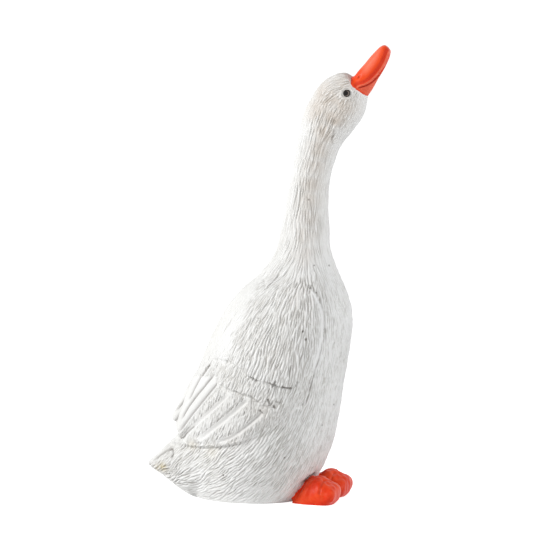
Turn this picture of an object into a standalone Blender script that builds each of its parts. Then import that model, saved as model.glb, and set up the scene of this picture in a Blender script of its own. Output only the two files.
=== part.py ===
# Goose figurine: one cast, carved and painted piece, standing with its neck stretched up and its bill raised.
# Metres, +Z up. The goose faces +X, its right side is -Y, and its flat underside rests on z = 0.
import math
import random

import bmesh
import bpy
import numpy as np
from mathutils import Vector
from mathutils.bvhtree import BVHTree
from mathutils.kdtree import KDTree

MM = 0.001

# Driving sizes, in millimetres.
TOTAL_HEIGHT = 300.0
BODY_WIDTH = 95.0
NECK_WIDTH = 25.2
HEAD_WIDTH = 28.4
BILL_WIDTH = 16.4
TAIL_WIDTH = 54.0
FOOT_WIDTH = 29.5
FOOT_SPREAD = 32.5
FAR_FOOT_AHEAD = 0.8
WING_LUMP = 17.0
WING_STEP = 2.2
FAR_WING_LIFT = 7.0
FAR_WING_REACH = 1.045
TIER_STEP = 1.0
FLIGHT_GROOVE = 1.2
FLIGHT_GROOVE_WIDTH = 3.0
TAIL_GROOVE = 0.9
EYE_DIAMETER = 5.6
EYE_BULGE = 0.8
MOUTH_DEPTH = 0.7
MOUTH_WIDTH = 1.5
TOE_RIDGE = 1.3
STROKE_PITCH = 6.4
STROKE_LENGTH = 17.0
STROKE_DEPTH = 0.9
STROKE_WIDTH = 2.3
BELOW_GROUND = 4.0

# How finely the piece is worked and how many triangles it keeps.
GRAIN = 1.1
SMOOTHING = 7
MOST_TRIANGLES = 11900
RING_POINTS = 48
STEPS_BETWEEN = 4
SEED = 11

# The side profile was drawn for this height, and is scaled from it.
DRAWN_HEIGHT = 300.4
SIZE = TOTAL_HEIGHT / DRAWN_HEIGHT

# Body sections from the ground up: back x and z, front x and z, share of the width.
BODY = [
    (-38.0, -BELOW_GROUND, 14.0, -BELOW_GROUND, 0.60),
    (-45.9, -1.6, 22.0, 0.0, 0.66),
    (-51.4, 3.0, 27.6, 6.2, 0.71),
    (-54.5, 10.0, 32.3, 14.1, 0.78),
    (-56.0, 18.3, 36.3, 21.4, 0.84),
    (-56.5, 26.9, 39.7, 29.4, 0.89),
    (-56.5, 36.8, 43.0, 39.4, 0.93),
    (-55.8, 46.7, 45.2, 49.4, 0.96),
    (-53.8, 58.0, 47.2, 60.7, 0.98),
    (-50.6, 70.0, 49.0, 72.6, 1.00),
    (-45.8, 83.3, 51.0, 85.8, 1.00),
    (-39.8, 96.7, 53.3, 99.1, 0.98),
    (-33.8, 110.0, 55.2, 112.3, 0.94),
    (-28.2, 121.3, 54.9, 124.2, 0.87),
    (-21.0, 132.1, 52.2, 134.7, 0.77),
    (-13.0, 141.0, 48.8, 143.8, 0.65),
    (-5.2, 149.0, 45.6, 151.7, 0.53),
    (1.2, 156.8, 43.0, 158.9, 0.44),
    (5.8, 165.1, 41.0, 167.4, 0.37),
]
NECK = [
    (8.0, 175.1, 40.8, 177.9, 1.20),
    (10.4, 186.4, 40.0, 189.1, 1.10),
    (12.6, 199.3, 40.2, 202.3, 1.03),
    (14.9, 212.2, 42.2, 216.2, 1.00),
    (17.1, 222.5, 45.2, 226.2, 1.00),
]
HEAD = [
    (18.7, 233.0, 49.2, 234.5, 0.93),
    (20.4, 242.7, 56.2, 243.3, 0.97),
    (22.4, 250.7, 61.9, 250.9, 1.00),
    (25.4, 258.2, 64.6, 256.9, 1.00),
    (29.5, 266.4, 65.4, 261.3, 0.97),
    (35.2, 274.2, 65.9, 264.2, 0.90),
    (42.5, 279.5, 66.1, 265.6, 0.79),
    (49.9, 281.6, 66.2, 266.2, 0.69),
    (54.6, 279.7, 66.0, 266.6, 0.60),
]
BILL = [
    (51.9, 278.5, 64.6, 265.0, 0.97),
    (56.9, 279.3, 67.3, 268.0, 1.00),
    (60.6, 282.0, 70.6, 273.0, 0.95),
    (65.0, 286.1, 73.7, 278.1, 0.88),
    (69.3, 290.9, 77.0, 283.4, 0.80),
    (73.0, 295.7, 79.6, 289.1, 0.71),
    (75.9, 299.1, 81.1, 294.1, 0.56),
    (77.6, 300.6, 80.8, 297.6, 0.33),
]
# Tail sections from the body to the tip: top x and z, bottom x and z, share of the width.
TAIL = [
    (-35.8, 50.0, -35.8, -2.2, 1.11),
    (-48.5, 46.5, -48.5, -1.0, 1.00),
    (-56.0, 42.8, -55.9, 2.4, 0.87),
    (-62.5, 37.6, -62.6, 6.9, 0.72),
    (-68.5, 33.2, -68.6, 11.2, 0.57),
    (-73.6, 27.8, -74.0, 14.5, 0.41),
    (-78.1, 24.3, -78.4, 17.2, 0.25),
    (-80.6, 22.6, -80.7, 19.6, 0.12),
]
# Folded wing from the shoulder to the tip: x, z, half its height, distance from the middle, how much farther
# out its lower edge is than its upper one, share of its lump.
WING = [
    (21.0, 133.0, 12.0, 26.0, 8.0, 0.70),
    (9.0, 114.0, 23.0, 32.0, 17.0, 0.95),
    (-4.0, 93.0, 26.0, 33.5, 19.0, 1.10),
    (-17.0, 74.0, 24.0, 31.0, 17.0, 1.25),
    (-29.0, 59.0, 17.5, 25.0, 12.0, 1.30),
    (-40.0, 48.0, 10.5, 17.5, 6.0, 1.10),
    (-50.0, 41.5, 4.5, 11.5, 2.0, 0.70),
]
# Foot from the ankle to the toes: x, middle height, half its height, share of the width.
FOOT = [
    (20.5, -1.0, 4.0, 0.50),
    (25.5, 1.0, 7.0, 0.66),
    (30.0, 3.5, 10.5, 0.80),
    (34.5, 5.5, 11.8, 0.88),
    (39.0, 6.0, 11.7, 0.94),
    (43.0, 5.9, 10.0, 0.99),
    (46.3, 6.2, 7.8, 1.00),
    (48.6, 6.4, 5.9, 0.95),
    (50.2, 6.6, 3.9, 0.82),
    (51.0, 6.8, 1.8, 0.60),
]
# The edge of the folded wing in side view, carried past the back and over the shoulder, where it isn't seen.
WING_EDGE = [
    (22.0, 158.0),
    (29.2, 149.2),
    (33.9, 146.0),
    (39.2, 140.5),
    (42.6, 133.7),
    (44.6, 126.5),
    (44.9, 116.6),
    (43.9, 110.0),
    (41.2, 98.7),
    (37.8, 87.0),
    (33.0, 73.5),
    (22.5, 60.6),
    (3.7, 48.5),
    (-11.0, 41.0),
    (-24.4, 37.6),
    (-35.1, 36.9),
    (-46.0, 37.6),
    (-49.5, 41.5),
    (-50.6, 52.0),
    (-44.4, 70.0),
    (-35.0, 88.5),
    (-60.0, 100.0),
    (-60.0, 160.0),
]
SHOULDER = (20.0, 140.0)
# Lower edges of the two rows of covert feathers, from the back to the front.
TIERS = [
    [(-30.0, 94.0), (-22.9, 95.5), (-11.5, 95.0), (-3.1, 84.4), (9.3, 80.6), (22.5, 78.4), (31.0, 84.0)],
    [(-31.0, 86.5), (-22.0, 78.5), (-14.8, 75.3), (-4.1, 72.0), (3.2, 67.5), (10.0, 66.0), (15.0, 60.0)],
]
# Grooves between the long flight feathers, from the coverts to the tips.
FLIGHT = [
    [(-33.7, 87.5), (-40.0, 76.5), (-44.4, 67.0)],
    [(-29.4, 82.9), (-41.1, 66.0), (-49.8, 52.7)],
    [(-25.3, 79.1), (-38.0, 63.0), (-50.0, 47.0)],
    [(-18.3, 74.0), (-33.0, 58.0), (-48.4, 41.9)],
    [(-7.5, 70.5), (-22.0, 57.0), (-38.4, 41.6)],
    [(1.0, 62.5), (-12.0, 50.5), (-27.0, 40.6)],
]
TAIL_FEATHERS = [
    [(-62.5, 31.5), (-70.0, 26.0), (-78.5, 21.5)],
    [(-60.0, 26.5), (-69.0, 20.5), (-77.0, 18.5)],
    [(-55.0, 20.0), (-64.0, 14.5), (-72.0, 15.5)],
]
# The way in which the feathers lie in side view: x, z, then the direction toward the tail.
LIE = [
    (47.0, 272.0, -0.80, -0.10),
    (33.0, 268.0, -0.62, -0.70),
    (55.0, 262.0, -0.35, -0.60),
    (30.0, 248.0, -0.30, -0.95),
    (50.0, 244.0, -0.60, -0.80),
    (31.0, 225.0, -0.28, -0.96),
    (27.0, 200.0, -0.12, -0.99),
    (25.0, 178.0, -0.02, -1.00),
    (12.0, 160.0, -0.42, -0.90),
    (40.0, 158.0, 0.20, -0.98),
    (0.0, 145.0, -0.62, -0.78),
    (22.0, 140.0, -0.25, -0.96),
    (-15.0, 120.0, -0.50, -0.86),
    (12.0, 115.0, -0.38, -0.92),
    (38.0, 112.0, -0.12, -0.99),
    (54.0, 120.0, 0.02, -1.00),
    (-30.0, 98.0, -0.46, -0.88),
    (0.0, 92.0, -0.34, -0.94),
    (28.0, 88.0, -0.30, -0.95),
    (-42.0, 68.0, -0.50, -0.86),
    (-25.0, 62.0, -0.68, -0.73),
    (-5.0, 55.0, -0.76, -0.65),
    (48.0, 75.0, -0.25, -0.97),
    (25.0, 60.0, -0.45, -0.89),
    (10.0, 40.0, -0.72, -0.69),
    (38.0, 35.0, -0.38, -0.92),
    (-20.0, 30.0, -0.90, -0.42),
    (-45.0, 32.0, -0.88, -0.47),
    (-65.0, 22.0, -0.85, -0.52),
    (-40.0, 12.0, -0.85, -0.40),
    (0.0, 12.0, -0.62, -0.50),
    (25.0, 14.0, -0.45, -0.75),
]
EYE = (55.1, 270.2)
NOSTRIL = (60.8, 279.4)
NOSTRIL_LENGTH = 3.4
MOUTH = [(60.5, 271.6), (64.5, 273.9), (69.0, 276.4), (73.0, 279.6), (76.3, 284.0), (79.0, 289.4), (80.6, 295.0)]
# Where the orange paint starts on the bill: one point on the line, and the way that the bill points.
BILL_ROOT = (59.9, 273.4)
BILL_WAY = (0.72, 0.69)
ANKLE = (33.0, 17.0)

PLUMAGE_WHITE = (0.82, 0.81, 0.77)
ORANGE_RED = (0.80, 0.085, 0.028)
EYE_BLACK = (0.012, 0.009, 0.008)


def clear_scene():
    for thing in list(bpy.data.objects):
        bpy.data.objects.remove(thing, do_unlink=True)


def paint(name, colour, roughness):
    material = bpy.data.materials.new(name)
    material.use_nodes = True
    shader = material.node_tree.nodes["Principled BSDF"]
    shader.inputs["Base Color"].default_value = (*colour, 1.0)
    shader.inputs["Roughness"].default_value = roughness
    material.diffuse_color = (*colour, 1.0)
    return material


def between(rows, steps):
    """Rows of numbers with smooth steps added between them, by Catmull-Rom."""
    rows = np.array(rows, dtype=float)
    out = []
    for i in range(len(rows) - 1):
        a = rows[max(i - 1, 0)]
        b = rows[i]
        c = rows[i + 1]
        d = rows[min(i + 2, len(rows) - 1)]
        for step in range(steps):
            t = step / steps
            out.append(0.5 * (2 * b + (c - a) * t + (2 * a - 5 * b + 4 * c - d) * t**2 + (3 * b - a - 3 * c + d) * t**3))
    out.append(rows[-1])
    return out


def loft(mesh, rings):
    """Closed skin through rings of points that have the same number of points each."""
    verts = [[mesh.verts.new(Vector(point) * MM) for point in ring] for ring in rings]
    for low, high in zip(verts, verts[1:]):
        for i in range(len(low)):
            j = (i + 1) % len(low)
            mesh.faces.new((low[i], low[j], high[j], high[i]))
    mesh.faces.new(list(reversed(verts[0])))
    mesh.faces.new(verts[-1])


def profile_ring(row, width, fore=0.0, fullness=1.0):
    """Ring in the plane across the side profile, from its back point to its front point."""
    back_x, back_z, front_x, front_z, share = row
    ring = []
    for i in range(RING_POINTS):
        angle = 2 * math.pi * i / RING_POINTS
        along = math.cos(angle)
        side = math.sin(angle)
        side = math.copysign(abs(side) ** fullness, side)
        x = (back_x + front_x) / 2 + (front_x - back_x) / 2 * along
        z = (back_z + front_z) / 2 + (front_z - back_z) / 2 * along
        y = share * width / 2 * side * (1 + fore * along)
        ring.append((x * SIZE, y, z * SIZE))
    return ring


def add_body(mesh):
    joined = [(*row[:4], row[4] * BODY_WIDTH) for row in BODY]
    joined += [(*row[:4], row[4] * NECK_WIDTH) for row in NECK]
    joined += [(*row[:4], row[4] * HEAD_WIDTH) for row in HEAD]
    rows = between(joined, STEPS_BETWEEN)
    loft(mesh, [profile_ring(row, 1.0, fore=0.10 if row[1] < 150 else 0.0, fullness=0.94) for row in rows])


def add_bill(mesh):
    rows = between(BILL, STEPS_BETWEEN)
    loft(mesh, [profile_ring(row, BILL_WIDTH, fullness=0.85) for row in rows])


def add_tail(mesh):
    rows = between(TAIL, STEPS_BETWEEN)
    loft(mesh, [profile_ring(row, TAIL_WIDTH, fullness=0.9) for row in rows])


def add_wing(mesh, side, lift, reach):
    rings = []
    rows = between(WING, STEPS_BETWEEN)
    for i, row in enumerate(rows):
        x, z, half, out, lean, share = row
        before = rows[max(i - 1, 0)]
        after = rows[min(i + 1, len(rows) - 1)]
        way = Vector((after[0] - before[0], after[1] - before[1])).normalized()
        ring = []
        for k in range(RING_POINTS // 2):
            angle = 4 * math.pi * k / RING_POINTS
            px = x - way.y * half * math.cos(angle)
            pz = z + way.x * half * math.cos(angle)
            py = out * BODY_WIDTH / 95.0 + lean / 2 * math.cos(angle) + share * WING_LUMP / 2 * math.sin(angle)
            px, pz = folded(px, pz, lift, reach)
            ring.append((px * SIZE, side * py, pz * SIZE))
        rings.append(ring)
    loft(mesh, rings)


def folded(x, z, lift, reach):
    """A point of the wing with its tail end turned up about the shoulder and drawn out from it."""
    dx = (x - SHOULDER[0]) * reach
    dz = (z - SHOULDER[1]) * reach
    c = math.cos(math.radians(lift))
    s = math.sin(math.radians(lift))
    return SHOULDER[0] + dx * c + dz * s, SHOULDER[1] + dz * c - dx * s


def add_foot(mesh, side, ahead):
    rings = []
    for x, middle, half, share in between(FOOT, STEPS_BETWEEN):
        ring = []
        for k in range(RING_POINTS // 2):
            angle = 4 * math.pi * k / RING_POINTS
            y = math.copysign(abs(math.cos(angle)) ** 0.8, math.cos(angle)) * share * FOOT_WIDTH / 2
            z = middle + half * math.sin(angle)
            splay = side * (x - 30.0) * 0.06
            ring.append((x * SIZE + ahead, side * FOOT_SPREAD / 2 + splay + y, z * SIZE))
        rings.append(ring)
    loft(mesh, rings)


def shell_of(name, add, *rest):
    """One closed skin as its own mesh, with its faces turned outward."""
    work = bmesh.new()
    add(work, *rest)
    bmesh.ops.recalc_face_normals(work, faces=work.faces)
    mesh = bpy.data.meshes.new(name)
    work.to_mesh(mesh)
    work.free()
    return mesh


def fused(meshes):
    """The skins as one skin with an even grain, softened where they meet."""
    work = bmesh.new()
    for mesh in meshes:
        work.from_mesh(mesh)
    rough = bpy.data.meshes.new("rough_goose")
    work.to_mesh(rough)
    work.free()
    thing = bpy.data.objects.new("rough_goose", rough)
    bpy.context.scene.collection.objects.link(thing)
    remesh = thing.modifiers.new("remesh", "REMESH")
    remesh.mode = "VOXEL"
    remesh.voxel_size = GRAIN * MM
    smooth = thing.modifiers.new("smooth", "SMOOTH")
    smooth.factor = 0.5
    smooth.iterations = SMOOTHING
    made = bpy.data.meshes.new_from_object(thing.evaluated_get(bpy.context.evaluated_depsgraph_get()))
    bpy.data.objects.remove(thing, do_unlink=True)
    return made


def points_of(mesh):
    points = np.empty(len(mesh.vertices) * 3)
    mesh.vertices.foreach_get("co", points)
    return points.reshape(-1, 3) / MM


def normals_of(mesh):
    normals = np.empty(len(mesh.vertices) * 3, dtype=np.float32)
    mesh.vertex_normals.foreach_get("vector", normals)
    return normals.reshape(-1, 3).astype(float)


def smoothstep(low, high, value):
    t = np.clip((value - low) / (high - low), 0.0, 1.0)
    return t * t * (3 - 2 * t)


def path_distance(x, z, path, closed=False):
    """Distance to a path, the share of the way along it, and which side of it: + is left of its direction."""
    path = list(path)
    if closed:
        path.append(path[0])
    best = np.full(len(x), 1e9)
    share = np.zeros(len(x))
    side = np.ones(len(x))
    count = len(path) - 1
    for i, ((ax, az), (bx, bz)) in enumerate(zip(path, path[1:])):
        dx = bx - ax
        dz = bz - az
        t = np.clip(((x - ax) * dx + (z - az) * dz) / (dx * dx + dz * dz), 0.0, 1.0)
        away = np.hypot(x - ax - t * dx, z - az - t * dz)
        closer = away < best
        best = np.where(closer, away, best)
        share = np.where(closer, (i + t) / count, share)
        cross = dx * (z - az) - dz * (x - ax)
        side = np.where(closer, np.where(cross >= 0, 1.0, -1.0), side)
    return best, share, side


def inside_outline(x, z, outline):
    inside = np.zeros(len(x), dtype=bool)
    for (ax, az), (bx, bz) in zip(outline, outline[1:] + outline[:1]):
        crosses = (az > z) != (bz > z)
        height = np.where(bz == az, 1.0, bz - az)
        inside ^= crosses & (x < (bx - ax) * (z - az) / height + ax)
    return inside


def drawn(points):
    """Side-view coordinates as in the drawings above. The far wing is brought back onto the near one."""
    x = points[:, 0] / SIZE
    z = points[:, 2] / SIZE
    c = math.cos(math.radians(FAR_WING_LIFT))
    s = math.sin(math.radians(FAR_WING_LIFT))
    dx = (x - SHOULDER[0]) / FAR_WING_REACH
    dz = (z - SHOULDER[1]) / FAR_WING_REACH
    far = points[:, 1] > 0
    wing_x = np.where(far, SHOULDER[0] + dx * c - dz * s, x)
    wing_z = np.where(far, SHOULDER[1] + dx * s + dz * c, z)
    return x, z, wing_x, wing_z


def wing_form(points, normals):
    """Height of the folded wings above the body, with their rows of coverts and long flight feathers."""
    x, z, wx, wz = drawn(points)
    facing = smoothstep(0.12, 0.45, np.abs(normals[:, 1])) * (1 - smoothstep(140.0, 153.0, wz))
    away, share, side = path_distance(wx, wz, WING_EDGE, closed=True)
    inside = inside_outline(wx, wz, WING_EDGE)
    signed = np.where(inside, away, -away)
    height = WING_STEP * smoothstep(-0.8, 5.0, signed)
    height -= 0.35 * WING_STEP * np.exp(-(((signed + 1.6) / 1.6) ** 2))
    on_wing = smoothstep(0.0, 3.0, signed)
    for path in TIERS:
        away, share, side = path_distance(wx, wz, between(path, 5))
        signed = away * side
        ends = smoothstep(0.0, 0.08, share) * (1 - smoothstep(0.92, 1.0, share))
        lip = smoothstep(14.0, 1.0, signed) * smoothstep(-0.6, 0.8, signed)
        under = np.exp(-(((signed + 1.0) / 1.2) ** 2))
        height += on_wing * ends * TIER_STEP * (lip - 0.4 * under)
    for i, path in enumerate(FLIGHT):
        away, share, side = path_distance(wx, wz, path)
        width = FLIGHT_GROOVE_WIDTH * (0.45 if i < 3 else 0.7)
        ends = smoothstep(0.0, 0.12, share) * (1 - smoothstep(0.93, 1.0, share))
        height -= on_wing * ends * FLIGHT_GROOVE * np.exp(-((away / width) ** 2))
    return height * facing


def tail_form(points, normals):
    x, z, wx, wz = drawn(points)
    facing = smoothstep(0.1, 0.4, np.abs(normals[:, 1]))
    height = np.zeros(len(x))
    for path in TAIL_FEATHERS:
        away, share, side = path_distance(x, z, path)
        ends = smoothstep(0.0, 0.15, share) * (1 - smoothstep(0.9, 1.0, share))
        height -= ends * TAIL_GROOVE * np.exp(-((away / 1.3) ** 2))
    return height * facing


def face_form(points, normals):
    """Eyes, mouth line with its lip, and nostrils."""
    x, z, wx, wz = drawn(points)
    facing = smoothstep(0.1, 0.4, np.abs(normals[:, 1]))
    from_eye = np.hypot(x - EYE[0], z - EYE[1])
    radius = EYE_DIAMETER / 2
    height = EYE_BULGE * np.clip(1 - (from_eye / radius) ** 2, 0.0, 1.0) ** 0.5
    height -= 0.5 * np.exp(-(((from_eye - radius - 0.5) / 0.7) ** 2))
    away, share, side = path_distance(x, z, MOUTH)
    signed = away * side
    ends = smoothstep(0.0, 0.08, share)
    height -= ends * MOUTH_DEPTH * np.exp(-((signed / (MOUTH_WIDTH / 2)) ** 2))
    height += ends * 0.35 * np.exp(-(((signed - 1.6) / 0.9) ** 2))
    along = (x - NOSTRIL[0]) * BILL_WAY[0] + (z - NOSTRIL[1]) * BILL_WAY[1]
    across = (z - NOSTRIL[1]) * BILL_WAY[0] - (x - NOSTRIL[0]) * BILL_WAY[1]
    height -= 0.5 * np.exp(-((along / (NOSTRIL_LENGTH / 2)) ** 2) - (across / 0.7) ** 2)
    return height * facing


def foot_form(points, on_foot):
    """Three toes and the webs between them on each foot."""
    x = points[:, 0] / SIZE
    y = np.abs(points[:, 1])
    z = points[:, 2] / SIZE
    angle = np.arctan2(y - FOOT_SPREAD / 2, x - ANKLE[0] + 12.0)
    ridges = np.cos(angle * 2 * math.pi / 0.46)
    ahead = smoothstep(ANKLE[0] - 4.0, ANKLE[0] + 10.0, x) * smoothstep(0.0, 3.0, z)
    return on_foot * ahead * TOE_RIDGE * (0.5 * ridges - 0.1)


def lie_of_feathers(x, z):
    guides = np.array(LIE)
    weight = 1.0 / (((x - guides[:, 0]) ** 2 + (z - guides[:, 1]) ** 2) ** 1.5 + 1.0)
    way = (guides[:, 2:] * weight[:, None]).sum(axis=0)
    return way / np.linalg.norm(way)


def stroke_kind(x, z, foot, wing):
    """Length, spacing and depth of the carved strokes at a place, as shares of the driving sizes."""
    if foot or on_bill(x, z, 0.5) > 0:
        return None
    if z > 255.0 or math.hypot(x - EYE[0], z - EYE[1]) < 5.0:
        return None if math.hypot(x - EYE[0], z - EYE[1]) < 7.0 else (0.45, 0.8, 0.35)
    if z > 150.0:
        return 1.1, 0.85, 0.75
    if wing and z > 78.0:
        return 0.8, 1.0, 1.0
    if wing:
        return 0.6, 0.85, 0.55
    if x < 5.0 and z < 45.0:
        return 1.0, 0.95, 0.9
    return 0.7, 1.15, 0.5


def on_bill(x, z, margin=0.0):
    return (x - BILL_ROOT[0]) * BILL_WAY[0] + (z - BILL_ROOT[1]) * BILL_WAY[1] + margin


def strokes(points, normals, on_foot):
    """Depth of the carved plumage at each point: tapered strokes laid down in the lie of the feathers."""
    chance = random.Random(SEED)
    tree = KDTree(len(points))
    for i, point in enumerate(points):
        tree.insert(point, i)
    tree.balance()
    x, z, wx, wz = drawn(points)
    wing = inside_outline(wx, wz, WING_EDGE)
    depth = np.zeros(len(points))
    taken = np.zeros(len(points), dtype=bool)
    order = list(range(len(points)))
    chance.shuffle(order)
    for i in order:
        if taken[i] or points[i, 2] < 2.0:
            continue
        kind = stroke_kind(x[i], z[i], on_foot[i] > 0.3, wing[i])
        if kind is None:
            continue
        length = kind[0] * STROKE_LENGTH * chance.uniform(0.75, 1.2)
        pitch = kind[1] * STROKE_PITCH
        deep = kind[2] * STROKE_DEPTH * chance.uniform(0.7, 1.15)
        bend = chance.uniform(-0.08, 0.08)
        way = lie_of_feathers(x[i], z[i])
        normal = normals[i]
        forward = np.array((way[0], 0.0, way[1]))
        forward -= normal * forward.dot(normal)
        if np.linalg.norm(forward) < 0.2:
            continue
        forward /= np.linalg.norm(forward)
        across = np.cross(normal, forward)
        near = [found[1] for found in tree.find_range(points[i], length * 0.55)]
        rel = points[near] - points[i]
        s = rel.dot(forward) / (length / 2)
        t = rel.dot(across) - bend * length * (s**2 - 0.3)
        level = np.abs(rel.dot(normal)) < 4.0
        near = np.array(near)
        cut = deep * np.clip(1 - s**2, 0.0, 1.0) * np.exp(-((t / (STROKE_WIDTH / 2)) ** 2)) * level
        depth[near] = np.maximum(depth[near], cut)
        taken[near[(np.abs(t) < pitch / 2) & (np.abs(s) < 0.9)]] = True
    return depth


def foot_share(points, foot_meshes):
    """How much each point belongs to a foot: 1 on a foot, falling to 0 away from it."""
    away = np.full(len(points), 1e9)
    for mesh in foot_meshes:
        skin = BVHTree.FromPolygons([v.co for v in mesh.vertices], [tuple(f.vertices) for f in mesh.polygons])
        for i in np.nonzero((points[:, 0] > 12.0) & (points[:, 2] < 26.0))[0]:
            found = skin.find_nearest(Vector(points[i]) * MM)
            away[i] = min(away[i], found[3] / MM)
    return 1 - smoothstep(0.5, 1.4, away)


def moved(mesh, amounts):
    points = points_of(mesh) + normals_of(mesh) * amounts[:, None]
    mesh.vertices.foreach_set("co", (points * MM).ravel())
    mesh.update()


def cut_flat(mesh):
    """The underside cut off flat on the ground and closed."""
    work = bmesh.new()
    work.from_mesh(mesh)
    everything = work.verts[:] + work.edges[:] + work.faces[:]
    bmesh.ops.bisect_plane(work, geom=everything, dist=1e-7, plane_co=(0, 0, 0), plane_no=(0, 0, -1), clear_outer=True)
    rim = [edge for edge in work.edges if edge.is_boundary]
    bmesh.ops.holes_fill(work, edges=rim, sides=0)
    bmesh.ops.triangulate(work, faces=work.faces)
    work.to_mesh(mesh)
    work.free()


def thinned(mesh, most):
    thing = bpy.data.objects.new("dense_goose", mesh)
    bpy.context.scene.collection.objects.link(thing)
    decimate = thing.modifiers.new("decimate", "DECIMATE")
    decimate.ratio = most / sum(len(face.vertices) - 2 for face in mesh.polygons)
    made = bpy.data.meshes.new_from_object(thing.evaluated_get(bpy.context.evaluated_depsgraph_get()))
    bpy.data.objects.remove(thing, do_unlink=True)
    return made


def one_skin(mesh):
    """Only the outer skin, with no stray faces, edges or points, and faces turned outward."""
    work = bmesh.new()
    work.from_mesh(mesh)
    bmesh.ops.dissolve_degenerate(work, dist=0.02 * MM, edges=work.edges)
    bmesh.ops.triangulate(work, faces=work.faces)
    seen = set()
    groups = []
    for start in work.faces:
        if start in seen:
            continue
        seen.add(start)
        group = [start]
        for face in group:
            for edge in face.edges:
                for other in edge.link_faces:
                    if other not in seen:
                        seen.add(other)
                        group.append(other)
        groups.append(group)
    keep = set(max(groups, key=len))
    bmesh.ops.delete(work, geom=[face for face in work.faces if face not in keep], context="FACES")
    bmesh.ops.recalc_face_normals(work, faces=work.faces)
    work.to_mesh(mesh)
    work.free()


def centred(mesh):
    """Moved so that the middle of the bounding box stands over the origin, with the underside at z = 0."""
    points = points_of(mesh)
    shift = (points.min(axis=0) + points.max(axis=0)) / 2
    shift[2] = points[:, 2].min()
    mesh.vertices.foreach_set("co", ((points - shift) * MM).ravel())
    mesh.update()
    return shift


def painted(mesh, foot_meshes, shift):
    middles = np.array([face.center for face in mesh.polygons]) / MM + shift
    x, z, wx, wz = drawn(middles)
    foot = foot_share(middles, foot_meshes)
    for i, face in enumerate(mesh.polygons):
        face.use_smooth = abs(face.normal.z + 1.0) > 1e-3
        if on_bill(x[i], z[i]) > 0 or foot[i] > 0.5:
            face.material_index = 1
        elif z[i] > 250 and math.hypot(x[i] - EYE[0], z[i] - EYE[1]) < EYE_DIAMETER / 2:
            face.material_index = 2


def build():
    clear_scene()
    home = bpy.data.collections.new("goose_figurine")
    bpy.context.scene.collection.children.link(home)
    feet = [shell_of("foot", add_foot, -1, 0.0), shell_of("foot", add_foot, 1, FAR_FOOT_AHEAD)]
    skins = [shell_of("body", add_body), shell_of("bill", add_bill), shell_of("tail", add_tail)]
    skins.append(shell_of("wing", add_wing, -1, 0.0, 1.0))
    skins.append(shell_of("wing", add_wing, 1, FAR_WING_LIFT, FAR_WING_REACH))
    mesh = fused(skins + feet)
    points = points_of(mesh)
    normals = normals_of(mesh)
    on_foot = foot_share(points, feet)
    form = wing_form(points, normals) + tail_form(points, normals) + face_form(points, normals)
    form += foot_form(points, on_foot)
    moved(mesh, form)
    points = points_of(mesh)
    moved(mesh, -strokes(points, normals_of(mesh), on_foot))
    mesh = thinned(mesh, MOST_TRIANGLES)
    cut_flat(mesh)
    one_skin(mesh)
    shift = centred(mesh)
    mesh.name = "goose_figurine"
    mesh.materials.clear()
    mesh.materials.append(paint("plumage_white", PLUMAGE_WHITE, 0.75))
    mesh.materials.append(paint("orange_red", ORANGE_RED, 0.45))
    mesh.materials.append(paint("eye_black", EYE_BLACK, 0.3))
    painted(mesh, feet, shift)
    home.objects.link(bpy.data.objects.new("goose_figurine", mesh))


build()
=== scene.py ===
# Goose figurine: the hand-carved and painted surface of the casting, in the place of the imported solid.
import math
import random

import bmesh
import bpy
import numpy as np
from mathutils import Matrix, Vector
from mathutils.bvhtree import BVHTree
from mathutils.kdtree import KDTree


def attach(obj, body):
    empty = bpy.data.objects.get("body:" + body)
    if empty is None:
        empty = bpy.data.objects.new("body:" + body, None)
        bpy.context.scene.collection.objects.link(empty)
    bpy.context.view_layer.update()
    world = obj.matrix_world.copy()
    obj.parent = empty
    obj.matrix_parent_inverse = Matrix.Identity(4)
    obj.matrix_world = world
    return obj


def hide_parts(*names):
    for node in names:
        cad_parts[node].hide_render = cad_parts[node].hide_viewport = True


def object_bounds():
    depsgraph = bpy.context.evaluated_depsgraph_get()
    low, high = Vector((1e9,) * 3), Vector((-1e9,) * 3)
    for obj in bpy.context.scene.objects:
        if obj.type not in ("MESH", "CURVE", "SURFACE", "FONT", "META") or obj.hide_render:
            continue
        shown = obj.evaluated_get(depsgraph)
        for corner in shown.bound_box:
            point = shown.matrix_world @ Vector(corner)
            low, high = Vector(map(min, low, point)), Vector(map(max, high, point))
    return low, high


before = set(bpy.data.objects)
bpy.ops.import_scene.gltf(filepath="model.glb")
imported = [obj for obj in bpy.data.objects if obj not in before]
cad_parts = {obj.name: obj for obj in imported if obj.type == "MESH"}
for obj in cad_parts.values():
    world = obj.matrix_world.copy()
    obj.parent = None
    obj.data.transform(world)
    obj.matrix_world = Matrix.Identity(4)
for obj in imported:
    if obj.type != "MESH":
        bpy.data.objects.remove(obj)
cad_low, cad_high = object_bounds()

MM = 0.001
# The outlines below are in the millimetres of the side drawing, from which the solid was made.
SIZE = 300.0 / 300.4
BODY_WIDTH = 95.0
NECK_WIDTH = 25.2
HEAD_WIDTH = 28.4
BILL_WIDTH = 16.4
TAIL_WIDTH = 54.0
FOOT_WIDTH = 29.5
FOOT_SPREAD = 32.5
FAR_FOOT_AHEAD = 0.8
WING_LUMP = 17.0
WING_DEPTH = 37.0
# How far a point moves in the photo's view for each millimetre that it stands nearer: ahead and up.
NEARER_AHEAD = 0.2126
NEARER_UP = 0.120
FAR_WING_LIFT = 3.7
FAR_WING_REACH = 1.025
EYE_RADIUS = 2.7
# The mantle lies behind a line that leans back through this point of the side view.
MANTLE_X = -2.0
MANTLE_Z = 147.0
MANTLE_LEAN = 0.346
# Size of the cells in which the fused surface is laid out, and the seed of the carved strokes.
GRAIN = 0.46
SEED = 23
ABOVE_ALL = 400.0
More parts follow.
